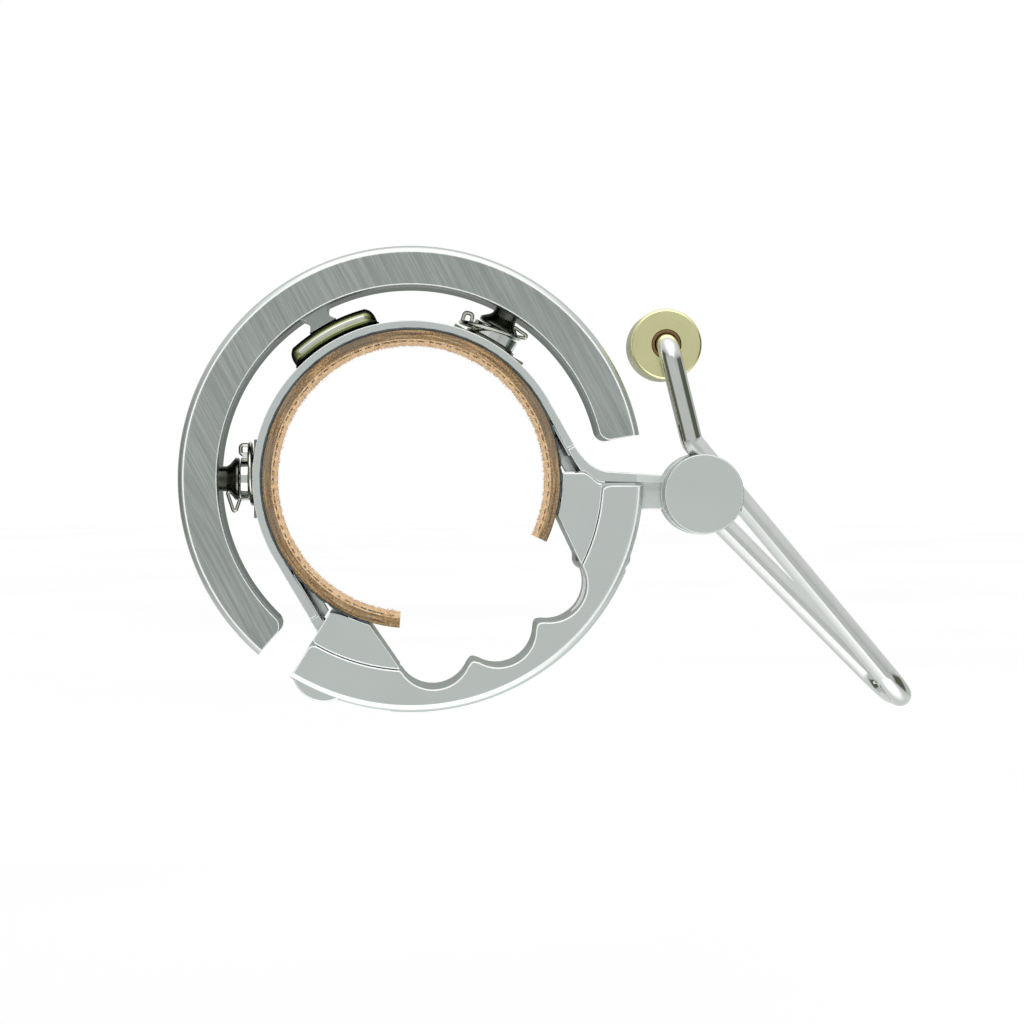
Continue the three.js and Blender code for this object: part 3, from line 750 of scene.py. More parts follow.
# Near-black steel for the inward walls on the arch's straight ends: painted shade.
PAINTED_SHADE_STEEL = polished_steel("inner_wall_painted_shade", (0.055, 0.055, 0.035), (0.03, 0.03, 0.02), 0.25)
BOLT_STEEL = polished_steel("bolt_steel", (0.42, 0.43, 0.41), (0.34, 0.35, 0.33), 0.16)
WIRE_STEEL = polished_steel("wire_steel", (0.76, 0.77, 0.69), (0.68, 0.69, 0.61), 0.06)
PLATE_STEEL = polished_steel("plate_steel", (0.34, 0.35, 0.26), (0.26, 0.27, 0.19), 0.14)
BRASS = turned_metal("brass", HAMMER, (0.98, 0.94, 0.54), (0.89, 0.85, 0.47), 0.14)
BRONZE = turned_metal("bronze", PIVOT, (0.36, 0.22, 0.10), (0.22, 0.13, 0.06), 0.35)
# The rounded edges of these three steels take the painted edge highlight.
EDGES = dict.fromkeys((STEEL, CAP_STEEL, GONG_STEEL), painted_edge_highlight())
LEATHER = (leather_edge(), suede(), leather_grain())
FIBRE = mottled("suede_fibre", 0.9, 1800, 2, [
    (0.32, (0.45, 0.27, 0.12)), (0.5, (0.82, 0.58, 0.33)), (0.68, (0.97, 0.80, 0.57))])
THREAD = mottled("stitch_thread", 0.8, 5200, 3, [
    (0.3, (0.018, 0.034, 0.048)), (0.7, (0.05, 0.085, 0.11))], (0.6, 0.00004))
SLATE = mottled("slate_rubber", 0.6, 900, 4, [
    (0.3, (0.025, 0.04, 0.046)), (0.7, (0.075, 0.105, 0.115))], (0.4, 0.00005), 0.1)

# ---- Gong ---------------------------------------------------------------------------------------


def make_gong():
    start, end = GONG_ENDS
    inner_round = 1.4
    turn = math.degrees(inner_round / (GONG_INNER + inner_round))
    corners = {}
    for angle, sign in ((end, -1), (start, 1)):
        centre = polar(GONG_INNER + inner_round, angle + sign * turn)
        first = polar(GONG_INNER + inner_round, angle) - centre
        last = polar(GONG_INNER, angle + sign * turn) - centre
        quarter = [math.pi / 2 * i / 8 for i in range(9)]
        corners[angle] = [centre + first * math.cos(a) + last * math.sin(a) for a in quarter]
    runs = [(arc(RING_RADIUS + 1, start, end), 0.16), (corners[end], 0.16),
            (arc(GONG_INNER, end - turn, start + turn), 0.16), (corners[start][::-1], 0.16)]
    gong = prism("gong_bar", runs, -HALF_WIDTH, HALF_WIDTH)
    inside, step, beyond = GONG_INNER - 1, GONG_INNER + 1, HALF_WIDTH + 1
    ring_shape = turned("cutter", lathe_profile([
        (inside, -beyond, 0), (step, -beyond, 0), (step, -HALF_WIDTH, 0),
        (RING_RADIUS, -HALF_WIDTH, EDGE_ROUND), (RING_RADIUS, HALF_WIDTH, EDGE_ROUND),
        (step, HALF_WIDTH, 0), (step, beyond, 0), (inside, beyond, 0)]), segments=360)
    combine(gong, [ring_shape], "INTERSECT")
    return dress(soften_shading(gong), "bracket", ["gong"], GONG_STEEL)


def make_pad():
    """A rounded bar that lies along the arch, half round in front and behind, tapering at both ends."""
    seat = ARCH_OUTER + FIT
    centre, half, taper_start = PAD_CENTRE, 17.2, 0.74
    stations, rows = 120, 40
    points = []
    for i in range(stations + 1):
        t = -1 + 2 * i / stations
        fall = max(0.0, (abs(t) - taper_start) / (1 - taper_start))
        swell = max(math.sqrt(max(0.0, 1 - (fall / 0.88) ** 2)), 0.08 + 1.3 * (1 - fall) ** 1.5)
        swell = min(1.0, swell)
        radial = (PAD_TOP - seat) / 2 * swell
        reach = 4.6 - (1 - swell) * 0.9
        for k in range(rows):
            a = 2 * math.pi * k / rows
            y = (reach - radial) * (1 if math.sin(a) > 0 else -1) + radial * math.sin(a)
            place = polar(seat + radial * (1 + math.cos(a)), centre + half * t)
            points.append(Vector((*place, y)).xzy)
    pad = mesh_object("gong_pad_bar", points, tube_faces(stations + 1, rows, flip_ends=True))
    return dress(soften_shading(pad, 50), "bracket", ["gong_pad"], PAD_PAINTED_REFLECTION)


def make_lug():
    """A web from the pad to the gong, with a hollow round side each way."""
    foot, head = PAD_TOP + 0.02, GONG_INNER - 0.02
    middle = (foot + head) / 2
    left = bezier((head, 1.9), (middle + 0.35, 1.05), (middle - 0.35, 1.05), (foot, 1.75))
    right = [Vector((p.x, -p.y)) for p in reversed(left)]
    lug = prism("gong_web", [(left, 0.06), (right, 0.06)], -4.2, 4.2, corner=0.05)
    place_on_radius(lug, SYMMETRY_ANGLE)
    return dress(soften_shading(lug), "bracket", ["gong_lug"], SHADED_LUG_STEEL)


make_gong()
make_pad()
make_lug()

# ---- Clamp bracket and its trims ----------------------------------------------------------------


def arch_runs(inner, outer, right_end, left_end, width):
    right = [on_straight("right", outer, right_end)] + arc(outer, *ARCH_ENDS.values())
    left = [on_straight("left", outer, left_end), on_straight("left", inner, left_end)]
    back = arc(inner, ARCH_ENDS["left"], ARCH_ENDS["right"]) + [on_straight("right", inner, right_end)]
    return [(right, width), (left, width), (back, width)]


def make_trim(name, node, front, rear):
    trim = prism(name, arch_runs(ARCH_INNER, ARCH_OUTER, SEAMS["right"] - 0.05, SEAMS["left"] - 0.05, 0.1),
                 front, rear, corner=0.18)
    return dress(soften_shading(trim), "bracket", [node], STEEL)


def shoulder_outline():
    top = on_straight("right", ARCH_OUTER, SEAMS["right"] + 0.1)
    inner = on_straight("right", ARCH_INNER, SEAMS["right"] + 0.1)
    low = SADDLE_TOP + 0.2
    curve = bezier((19.34, low), (20.4, low - 0.1), (20.8, FLANGE_BOTTOM), (21.9, FLANGE_BOTTOM))
    over = bezier((22.6, 0.84), (20.9, 1.0), (19.9, 1.9), top)
    # Above the cover the lower edge is left sharp, so that it melts into the arm.
    sharp_from = Vector((22.1, FLANGE_BOTTOM))
    return [([inner] + curve, 0.14), ([sharp_from, Vector((30, FLANGE_BOTTOM))], 0.0),
            ([Vector((30, 0.33))] + over, 0.14)]


def strip(side, inner, outer, start, end, front, rear):
    places = (inner, start), (outer, start), (outer, end), (inner, end)
    corners = [on_straight(side, radius, distance) for radius, distance in places]
    return prism("cutter", [(corners, 0.05)], front, rear, corner=0.05)


def make_bracket():
    half = TRIM_INSIDE - FIT
    ends = SEAMS["right"] + 0.5, SEAMS["left"] + 0.5
    body = prism("clamp_casting", arch_runs(ARCH_INNER, ARCH_OUTER, *ends, 0.02), -half, half, corner=0)
    shoulder = prism("cutter", shoulder_outline(), TRIM_FRONT, -TRIM_FRONT, corner=0.1)
    cap_space = rod(PIVOT.x, PIVOT.z, HOUSING_RADIUS + GAP, -20, HOUSING_FRONT + 0.001)
    spring_space = rod(PIVOT.x, PIVOT.z, HOUSING_RADIUS + GAP, HOUSING_REAR, 20)
    combine(shoulder, [cap_space, spring_space], "DIFFERENCE")
    arm = prism("cutter", [([(18.6, ARM_BOTTOM), (31, ARM_BOTTOM), (31, 0.3), (18.6, 0.3)], 0.15)],
                -ARM_HALF_WIDTH, ARM_HALF_WIDTH, corner=0.1)
    combine(arm, [rod(PIVOT.x, PIVOT.z, HOUSING_RADIUS + GAP, HOUSING_REAR, 20)], "DIFFERENCE")
    arm_top = prism("cutter", [([(18.6, 0.2), (19.6, -0.6), (21.5, -0.7), (21.5, 0.9), (19.3, 0.9)], 0)],
                    -ARM_HALF_WIDTH + 0.02, ARM_HALF_WIDTH - 0.02, corner=0)
    edge = 0.15
    housing_profile = disc_profile(HOUSING_RADIUS, HOUSING_FRONT, HOUSING_REAR, edge, edge)
    housing = turned("cutter", housing_profile, (PIVOT.x, 0, PIVOT.z))
    stub = strip("left", LEDGE_INNER, ARCH_OUTER, SEAMS["left"] + 0.1, SEAMS["left"] + 2,
                 TRIM_FRONT, -TRIM_FRONT)
    parts = [shoulder, arm, arm_top, housing, stub]
    above_saddle = SADDLE_TOP + 0.12
    left_end = SEAMS["left"] + 2
    for side, ledge_end, flange_end in (("right", 6.6, FLANGE_END), ("left", left_end, left_end)):
        parts.append(strip(side, LEDGE_INNER, ARCH_INNER + 0.2, 2.6, ledge_end, -half + 0.03, half - 0.03))
        flange = strip(side, FLANGE_INNER, ARCH_INNER + 0.1, 0, flange_end, 2.7, half - 0.06)
        spaces = [rod(0, 0, ARCH_INNER, *THROUGH, SMOOTH),
                  block(0, BEYOND, *THROUGH, -BEYOND, above_saddle)]
        parts.append(combine(flange, spaces, "DIFFERENCE"))
    combine(body, parts, "UNION")
    wedge = [(0, 0)] + arc(BEYOND, COVER_ENDS[0] - 0.7, COVER_ENDS[0] + 60)
    combine(body, [prism("cutter", [(wedge, 0)], *THROUGH, corner=0)], "DIFFERENCE")
    inner = on_straight("left", LEDGE_INNER, SEAMS["left"])
    outer = on_straight("left", ARCH_OUTER, SEAMS["left"])
    lug = [(HINGE.x - 2.2, HINGE.z), (HINGE.x + 2.2, HINGE.z), (inner.x + 1, inner.y - 1.2), inner, outer,
           polar(20.3, COVER_ENDS[0] - STUB_GAP), polar(21.3, COVER_ENDS[0] + 1.2)]
    lug = prism("cutter", [(lug, 0.1)], -LUG_HALF_WIDTH, LUG_HALF_WIDTH, corner=0)
    knuckle = disc_profile(KNUCKLE_RADIUS, -LUG_HALF_WIDTH, LUG_HALF_WIDTH, edge, edge)
    knuckle = turned("cutter", knuckle, HINGE)
    combine(body, [lug, knuckle], "UNION")
    cuts = [rod(HINGE.x, HINGE.z, HINGE_HOLE, *THROUGH), rod(PIVOT.x, PIVOT.z, PIVOT_HOLE, *THROUGH),
            upright(BOLT.x, 2.9, ARM_BOTTOM - 1, -0.5)]
    for angle in (60, 180):
        cuts.append(place_on_radius(block(17.55, 22, -3.5, 3.5, -4.8, 4.8), angle))
    combine(body, cuts, "DIFFERENCE")
    dress(soften_shading(body), "bracket", ["clamp_bracket"], STEEL)
    # Inward-facing walls on the arch's straight ends get the near-black steel: painted shade.
    body.data.materials.append(PAINTED_SHADE_STEEL)
    for face in body.data.polygons:
        centre = face.center / MM
        place = Vector((centre.x, centre.z))
        inward = -Vector((face.normal.x, face.normal.z)).dot(place.normalized())
        on_end = (place.angle(polar(1, 0)) < math.radians(29)
                  or place.angle(polar(1, 211)) < math.radians(28))
        if inward > 0.6 and on_end and place.length < ARCH_OUTER + 2 and abs(centre.y) < half:
            face.material_index = 2
    return body


make_trim("arch_trim_front", "front_trim", TRIM_FRONT, -TRIM_INSIDE)
make_trim("arch_trim_rear", "rear_trim", TRIM_INSIDE, -TRIM_FRONT)
make_bracket()

# ---- Lower clamp --------------------------------------------------------------------------------


def recess_entry():
    """Half the angle that a cable recess takes at the cover's inner radius."""
    squares = COVER_INNER ** 2 + RECESS_DISTANCE ** 2 - RECESS_RADIUS ** 2
    return math.degrees(math.acos(squares / (2 * COVER_INNER * RECESS_DISTANCE)))


def bolt_cuts():
    """Room for the arm above, and for the clamp bolt and its head."""
    side = ARM_HALF_WIDTH + GAP
    return [block(14, 28.5, -side, side, ARM_BOTTOM - GAP, 10), upright(BOLT.x, BOLT_HOLE, -8, 1),
            upright(BOLT.x, POCKET, -CLEAR, POCKET_TOP)]


def hinge_cuts():
    """Room for the hinge lug and its knuckle."""
    half = LUG_HALF_WIDTH + GAP
    return [block(-CLEAR, HINGE.x + 2.5, -half, half, -CLEAR, -3),
            rod(HINGE.x, HINGE.z, KNUCKLE_RADIUS + GAP, -half, half)]


def smooth_cover_edge():
    """The cover's inner edge: arcs at the saddles and round recesses, with blunt rounded noses between."""
    entry = recess_entry()
    toward = math.degrees(math.asin(COVER_INNER * math.sin(math.radians(entry)) / RECESS_RADIUS))
    angles = sorted(RECESS_ANGLES, reverse=True)
    soft = 9
    edge = arc(COVER_INNER, 356.6, angles[0] + entry + 1.2)
    nose = polar(COVER_INNER, angles[0] + entry)
    for angle, following in zip(angles, angles[1:] + [None]):
        centre = polar(RECESS_DISTANCE, angle)
        recess = arc(RECESS_RADIUS, angle + toward - soft, angle - toward + soft, centre, 3)
        edge += bezier(edge[-1], nose, nose, recess[0], 6)[1:] + recess[1:]
        if following:
            nose = polar(COVER_INNER - 0.05, (angle + following) / 2)
    nose = polar(COVER_INNER, angles[-1] - entry)
    last = arc(COVER_INNER, angles[-1] - entry - 1.2, COVER_ENDS[0] + 3.0)
    edge += bezier(edge[-1], nose, nose, last[0], 6)[1:]
    edge += last[1:]
    return edge


def make_cover():
    start = COVER_ENDS[0]
    top_angle = 360 + math.degrees(math.asin(COVER_TOP / RING_RADIUS))
    rim = arc(RING_RADIUS, start, top_angle)
    top_right = rim[-1]
    inner_edge = smooth_cover_edge()
    top_left = bezier((23.2, COVER_TOP), (22.2, COVER_TOP), (21.95, -1.0), inner_edge[0], 8)
    left_low = polar(22.9, start)
    left_turn = bezier(inner_edge[-1], polar(COVER_INNER, start + 0.9), polar(22.1, start), left_low, 8)
    runs = [(rim, EDGE_ROUND), ([top_right] + top_left, 0.2), (inner_edge, 0.2), (left_turn, 0.2)]
    body = prism("cover_shell", runs, -HALF_WIDTH, HALF_WIDTH, segments=6)
    raised = prism("cutter", [(arc(RING_RADIUS + RAISED, *RAISED_ENDS), 0.1),
                              (arc(COVER_INNER + 3, *RAISED_ENDS[::-1]), 0.05)], -5, 5, corner=0.1)
    cheek = turned("cutter", disc_profile(CHEEK_RADIUS, -5.7, 5.7, 0.18, 0.18), HINGE)
    beyond_end = prism("cutter", [([Vector((0, 0))] + arc(BEYOND, 180, start), 0)], *THROUGH, corner=0)
    combine(cheek, [rod(0, 0, COVER_INNER + 0.4, *THROUGH, SMOOTH), beyond_end], "DIFFERENCE")
    combine(body, [raised, cheek], "UNION")
    pin_hole = rod(HINGE.x, HINGE.z, HINGE_HOLE, -4.6, 20)
    combine(body, bolt_cuts() + hinge_cuts() + [pin_hole], "DIFFERENCE")
    return dress(soften_shading(body), "lower_clamp", ["lower_cover"], STEEL)


def make_left_saddle():
    start = COVER_ENDS[0]
    runs = [
        (arc(SADDLE_INNER, start, SADDLE_TIP), 0.1),
        (arc(SADDLE_OUTER, SADDLE_HEEL, start + 3), 0.18),
        (bezier(*(polar(SADDLE_OUTER, start + turn) for turn in (3, 1, 0.6)),
                polar(SADDLE_OUTER - 0.35, start)), 0.18),
    ]
    body = prism("saddle_left", runs, -SADDLE_HALF_WIDTH, SADDLE_HALF_WIDTH, corner=0.22)
    toward = math.degrees(math.atan2(-HINGE.z, -HINGE.x))
    centre = HINGE.x, HINGE.z
    sweep = arc(SWEEP_RADIUS, toward, toward + 70, centre) + arc(BEYOND, toward + 70, toward, centre)
    combine(body, [prism("cutter", [(sweep, 0)], *THROUGH, corner=0)] + hinge_cuts(), "DIFFERENCE")
    return dress(soften_shading(body), "lower_clamp", ["left_saddle"], STEEL)


def make_right_saddle():
    mirror = 2 * (SYMMETRY_ANGLE + 180)
    edge = polar(SADDLE_OUTER, -1.5)
    runs = [
        (bezier(edge, (20.9, -0.5), (20.5, SADDLE_TOP - 0.1), (19.6, SADDLE_TOP)), 0.18),
        (arc(SADDLE_INNER, 2.3, mirror - SADDLE_TIP - 360), 0.1),
        (arc(SADDLE_OUTER, mirror - SADDLE_HEEL - 360, -1.5), 0.18),
    ]
    body = prism("saddle_right", runs, -SADDLE_HALF_WIDTH, SADDLE_HALF_WIDTH, corner=0.1)
    combine(body, bolt_cuts(), "DIFFERENCE")
    return dress(soften_shading(body), "lower_clamp", ["right_saddle"], STEEL)


def make_bolt():
    head_low, head_high = node_box("clamp_bolt")
    bottom, tip = head_low.z, head_high.z
    head_top = bottom + HEAD_HEIGHT
    profile = lathe_profile([(0, bottom, 0), (BOLT_HEAD, bottom, 1.2), (BOLT_HEAD, head_top, 0.15),
                             (2, head_top, 0), (2, head_top + 0.6, 0)])
    thread, pitch = [], THREAD_PITCH
    height = head_top + 0.8
    while height + 2 * pitch < tip - 0.3:
        thread += [(THREAD_CREST, height), (THREAD_ROOT, height + pitch / 2 + 0.05),
                   (THREAD_CREST, height + pitch + 0.1)]
        height += pitch + 0.1
    end = [(THREAD_ROOT, tip - 0.15), (1.45, tip), (0, tip)]
    body = turned("socket_bolt", profile + thread + end, BOLT_X, axis="Z")
    hexagon = [(0, bottom - 1), (HEX_SOCKET, bottom - 1), (HEX_SOCKET, bottom + 2), (0, bottom + 2.6)]
    combine(body, [turned("cutter", hexagon, BOLT_X, axis="Z", segments=6)], "DIFFERENCE")
    dress(soften_shading(body, 35), "bolt", ["clamp_bolt"], BOLT_STEEL)
    low, high = node_box("bolt_washer")
    washer = turned("spring_washer", sleeve_profile(BORE, BOLT_HEAD, low.z, high.z), BOLT_X, axis="Z")
    dress(washer, "lower_clamp", ["bolt_washer"], CHROME)


def make_inner_fittings():
    low, high = node_box("clamp_nut")
    nut = turned("threaded_insert", sleeve_profile(BORE, 2.8, low.z, high.z, 0.1, 0.15), BOLT_X, axis="Z")
    dress(nut, "bracket", ["clamp_nut"], BRASS)
    low, high = node_box("hinge_pin")
    pin = turned("hinge_pin_rod", disc_profile(1, low.y, high.y, 0.2, 0.25), HINGE)
    dress(pin, "bracket", ["hinge_pin"], CHROME)
    low, high = node_box("pivot_bush")
    bush = turned("pivot_sleeve", sleeve_profile(1.35, BORE, low.y, high.y), PIVOT)
    dress(bush, "bracket", ["pivot_bush"], BRONZE)


make_cover()
make_left_saddle()
make_right_saddle()
make_bolt()
make_inner_fittings()

# ---- Posts --------------------------------------------------------------------------------------


# In a post's own frame X is outwards, and `along` runs round the ring: right and down on the right post,
# up on the left one. Ring: its middle, half length along the ring and how far it leans outwards.
POSTS = {
    "right": {
        "angle": 60, "collar": (18.5, 19.75, 2.8), "lift": 0.0, "ring": (19.45, -0.7, 3.4, 0.85),
        "hairpin": [(18.7, -4.0), (19.8, -4.25), (20.0, -3.3), (19.3, -3.1)],
        "eyelet": [(20.15, 1.9), (21.15, 1.3), (20.95, 4.0)],
    },
    "left": {
        "angle": 180, "collar": (18.7, 19.6, 2.5), "lift": -0.2, "ring": (18.45, 0.65, 3.4, 0.12),
        "hairpin": [(18.5, 3.9), (19.65, 3.9), (19.65, 2.8), (18.9, 2.8)],
        "eyelet": [(19.75, -2.4), (21.35, -1.1), (20.35, -4.1)],
    },
}
WIRE_Y = -0.6
PLATE_SPAN, PLATE_HALF_LENGTH, PLATE_HALF_WIDTH = (17.62, 17.98), 4.5, 3.2
WASHER = (18.04, 18.44, 3.1)
POST_EDGE = 0.08
POST_BORE = 1.15
STUD_FOOT, STUD_BASE, STUD_NECK = 17.9, 20.08, 21.5
STUD_HEAD = 1.45
RING_HALF_WIDTH = 3.1


def make_suspension_wire(side, ring, hairpin, eyelet):
    """A leaning ring round the post, a hairpin at one end and a small closed eyelet at the other."""
    radius, along, half, lean = ring
    turn = [2 * math.pi * i / 72 for i in range(73)]
    loop = [Vector((radius + lean * math.cos(a), RING_HALF_WIDTH * math.sin(a),
                    -along - half * math.cos(a))) for a in turn]
    wire = swept(f"{side}_wire", loop, 0.25, 16, round_ends=False)
    pin = bent_path([(r, WIRE_Y, -s, 0.36) for r, s in hairpin], run=0.5)
    tip = eyelet + eyelet[:1]
    eye = bent_path([(r, WIRE_Y, -s, 0.2) for r, s in tip], run=0.5)
    combine(wire, [swept("cutter", pin, 0.24, 14), swept("cutter", eye, 0.21, 14)], "UNION")
    return soften_shading(wire, 50)


def chamfered_sleeve(name, low, high, radius):
    edge = POST_EDGE
    return turned(name, [(POST_BORE, low), (radius - edge, low), (radius, low + edge), (radius, high - edge),
                         (radius - edge, high), (POST_BORE, high)], axis="X")


def make_post(side, angle, collar, lift, ring, hairpin, eyelet):
    def fit(piece, part, material):
        place_on_radius(piece, angle)
        dress(piece, "bracket", [f"{side}_post_{part}"], material)

    low, high = PLATE_SPAN
    corners = [(low, -PLATE_HALF_LENGTH), (high, -PLATE_HALF_LENGTH), (high, PLATE_HALF_LENGTH),
               (low, PLATE_HALF_LENGTH)]
    plate = prism(f"{side}_plate", [(corners, POST_EDGE)], -PLATE_HALF_WIDTH, PLATE_HALF_WIDTH,
                  corner=POST_EDGE)
    fit(soften_shading(plate), "plate", PLATE_STEEL)
    fit(chamfered_sleeve(f"{side}_washer", *WASHER), "washer", DARK_STEEL)
    fit(chamfered_sleeve(f"{side}_collar", *collar), "collar", CHROME)
    base, neck = STUD_BASE + lift, STUD_NECK + lift
    flare = bezier((2.5, base + 0.3), (2.1, base + 0.75), (1.6, base + 0.95), (STUD_HEAD, neck), 10)
    profile = [(0, STUD_FOOT), (1.0, STUD_FOOT), (1.0, base - 0.1), (2.3, base - 0.1), (2.45, base),
               (2.45, base + 0.16), (2.38, base + 0.22)]
    stud = turned(f"{side}_stud", profile + [tuple(p) for p in flare]
                  + [(STUD_HEAD, GONG_INNER - 0.02), (0, GONG_INNER - 0.02)], axis="X")
    fit(stud, "stud", DARK_STEEL)
    fit(make_suspension_wire(side, ring, hairpin, eyelet), "wire", WIRE_STEEL)


for post_side, design in POSTS.items():
    make_post(post_side, **design)

# ---- Pivot and trigger --------------------------------------------------------------------------


def make_cap():
    front, back = CAP_LOW.y, CAP_LOW.y + 0.95
    rear = CAP_HIGH.y
    radius = (CAP_HIGH.x - CAP_LOW.x) / 2
    disc = turned("pivot_cover", disc_profile(radius, front, back, 0.16, 0.08), PIVOT)
    hub = rod(PIVOT.x, PIVOT.z, 1.45, back - 0.2, rear)
    skirt = prism("cutter", [(arc(radius - 0.02, 120, 300, (PIVOT.x, PIVOT.z)), 0.05),
                             (arc(3.9, 300, 120, (PIVOT.x, PIVOT.z)), 0.05)], back - 0.2, rear, corner=0.05)
    combine(disc, [hub, skirt], "UNION")
    return dress(soften_shading(disc), "bracket", ["pivot_cap"], CAP_STEEL)


def make_return_spring():
    turns, radius, start, end = 4, 2.6, 0.1, 4.3
    path = []
    for i in range(turns * 40 + 1):
        angle = 2 * math.pi * i / 40
        y = start + (end - start) * i / (turns * 40)
        path.append(Vector((PIVOT.x + radius * math.cos(angle), y, PIVOT.z + radius * math.sin(angle))))
    spring = swept("return_coil", path, 0.4, 16)
    return dress(spring, "bracket", ["return_spring"], CHROME)


def make_trigger():
    path = bent_path([
        (PIVOT.x, HOUSING_FRONT + 0.3, PIVOT.z, 0),
        (PIVOT.x, LEG_Y, PIVOT.z, 2.1),
        (TIP_REAR[0], LEG_Y, TIP_REAR[1], TIP_BEND),
        (TIP_FRONT[0], -LEG_Y, TIP_FRONT[1], TIP_BEND),
        (KNEE[0], -LEG_Y, KNEE[1], 1.6),
        (HAMMER.x, -LEG_Y, HAMMER.z, 2.0),
        (HAMMER.x, HAMMER_HIGH.y - 1.5, HAMMER.z, 0),
    ])
    wire = swept("lever_wire", path, WIRE_RADIUS, 40, round_ends=False)
    return dress(wire, "trigger", ["trigger_wire"], CHROME)


def make_hammer():
    front, rear = HAMMER_LOW.y, HAMMER_HIGH.y
    radius = (HAMMER_HIGH.x - HAMMER_LOW.x) / 2
    # HAMMER's own Y is added to these heights, so both pieces stand 0.25 mm ahead of their CAD nodes.
    body = turned("hammer_head", disc_profile(radius, front, rear, 0.32, 0.32), HAMMER, segments=128)
    combine(body, [rod(HAMMER.x, HAMMER.z, 1.72, front - 1, rear - 1)], "DIFFERENCE")
    dress(soften_shading(body), "trigger", ["hammer"], BRASS)
    bush = turned("hammer_sleeve", lathe_profile([
        (1.33, front + 0.05, 0.05), (1.66, front + 0.05, 0.08), (1.66, rear - 1.2, 0),
        (1.33, rear - 1.2, 0)]), HAMMER)
    dress(bush, "trigger", ["hammer_bush"], BRONZE)


make_cap()
make_return_spring()
make_trigger()
make_hammer()

# ---- Leather liner, its fibres and the ribbed backing -------------------------------------------


def ring_band(name, section, ends, step):
    """A band round the bar: section(angle) gives its closed (radius, y) outline at each angle."""
    count = math.ceil((ends[1] - ends[0]) / step)
    points = []
    for i in range(count + 1):
        angle = ends[0] + (ends[1] - ends[0]) * i / count
        for radius, y in section(angle):
            points.append(Vector((*polar(radius, angle), y)).xzy)
    faces = tube_faces(count + 1, len(section(ends[0])), flip_sides=True, flip_ends=True)
    return mesh_object(name, points, faces)


def nap_radius(y):
    """The suede swells inwards between its front and rear edges."""
    return LINER[0] - NAP_BULGE * min(1, max(0, 2.6 * math.cos(math.pi * y / 2 / HALF_WIDTH)))


def make_liner():
    inner, outer = LINER
    rows = 24
    shuffle = random.Random(3)
    waves = [(shuffle.uniform(4, 40), shuffle.uniform(0, 6.28), shuffle.uniform(0.008, 0.02))
             for _ in range(9)]

    def section(angle):
        wear_and_highlight = sum(size * math.sin(math.radians(angle) * rate + start) for rate, start, size in waves)
        y = HALF_WIDTH - 0.03 + wear_and_highlight * 0.4
        edge = 0.1
        across = [(inner + edge * 0.3, -y + edge), (inner + edge, -y + 0.02), (inner + 0.4, -y),
                  (outer - edge, -y), (outer, -y + edge), (outer, y - edge), (outer - edge, y),
                  (inner + edge, y)]
        levels = [(y - 0.15) * (1 - 2 * k / rows) for k in range(rows + 1)]
        nap = [(nap_radius(v) + 0.4 * wear_and_highlight * (1 + math.sin(2 * v + angle / 7)), v) for v in levels]
        return across + nap

    liner = ring_band("leather_strip", section, LINER_ENDS, 1.0)
    liner.data.materials.clear()
    for material in LEATHER:
        liner.data.materials.append(material)
    for face in liner.data.polygons:
        centre = face.center / MM
        radius = math.hypot(centre.x, centre.z)
        if radius < inner + 0.03 and abs(centre.y) < HALF_WIDTH - 0.05:
            face.material_index = 1
        elif radius > outer - 0.05 and abs(centre.y) < HALF_WIDTH - 0.15:
            face.material_index = 2
        else:
            face.material_index = 0
    soften_shading(liner, 50)
    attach(liner, "bracket")
    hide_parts("leather_liner")


def make_stitches(spacing=1.05, length=0.74, width=0.36):
    """Two broken lines of short dark stitches, near the front and the rear of the suede side."""
    draw = random.Random(23)
    points, faces = [], []
    radius = nap_radius(STITCH_ROW)
    step = math.degrees(spacing / radius)
    count = int((LINER_ENDS[1] - LINER_ENDS[0]) / step)
    for row in (-STITCH_ROW, STITCH_ROW):
        for i in range(1, count):
            angle = LINER_ENDS[0] + step * (i + draw.uniform(-0.16, 0.16))
            half = math.degrees(length * draw.uniform(0.55, 1.25) / 2 / radius)
            first = len(points)
            for k in range(7):
                t = k / 6 * 2 - 1
                size = width / 2 * math.sqrt(max(0.04, 1 - t * t))
                for side, rise in ((-1, -0.04), (0, 0.13), (1, -0.04)):
                    place = polar(radius - rise, angle + half * t)
                    points.append(Vector((place.x, row + side * size, place.y)))
            for k in range(6):
                a, b = first + 3 * k, first + 3 * k + 3
                faces += [(a, a + 1, b + 1, b), (a + 1, a + 2, b + 2, b + 1), (a + 2, a, b, b + 2)]
            faces += [(first, first + 2, first + 1), (first + 18, first + 19, first + 20)]
    stitches = mesh_object("liner_stitches", points, faces)
    return dress(stitches, "bracket", [], THREAD)


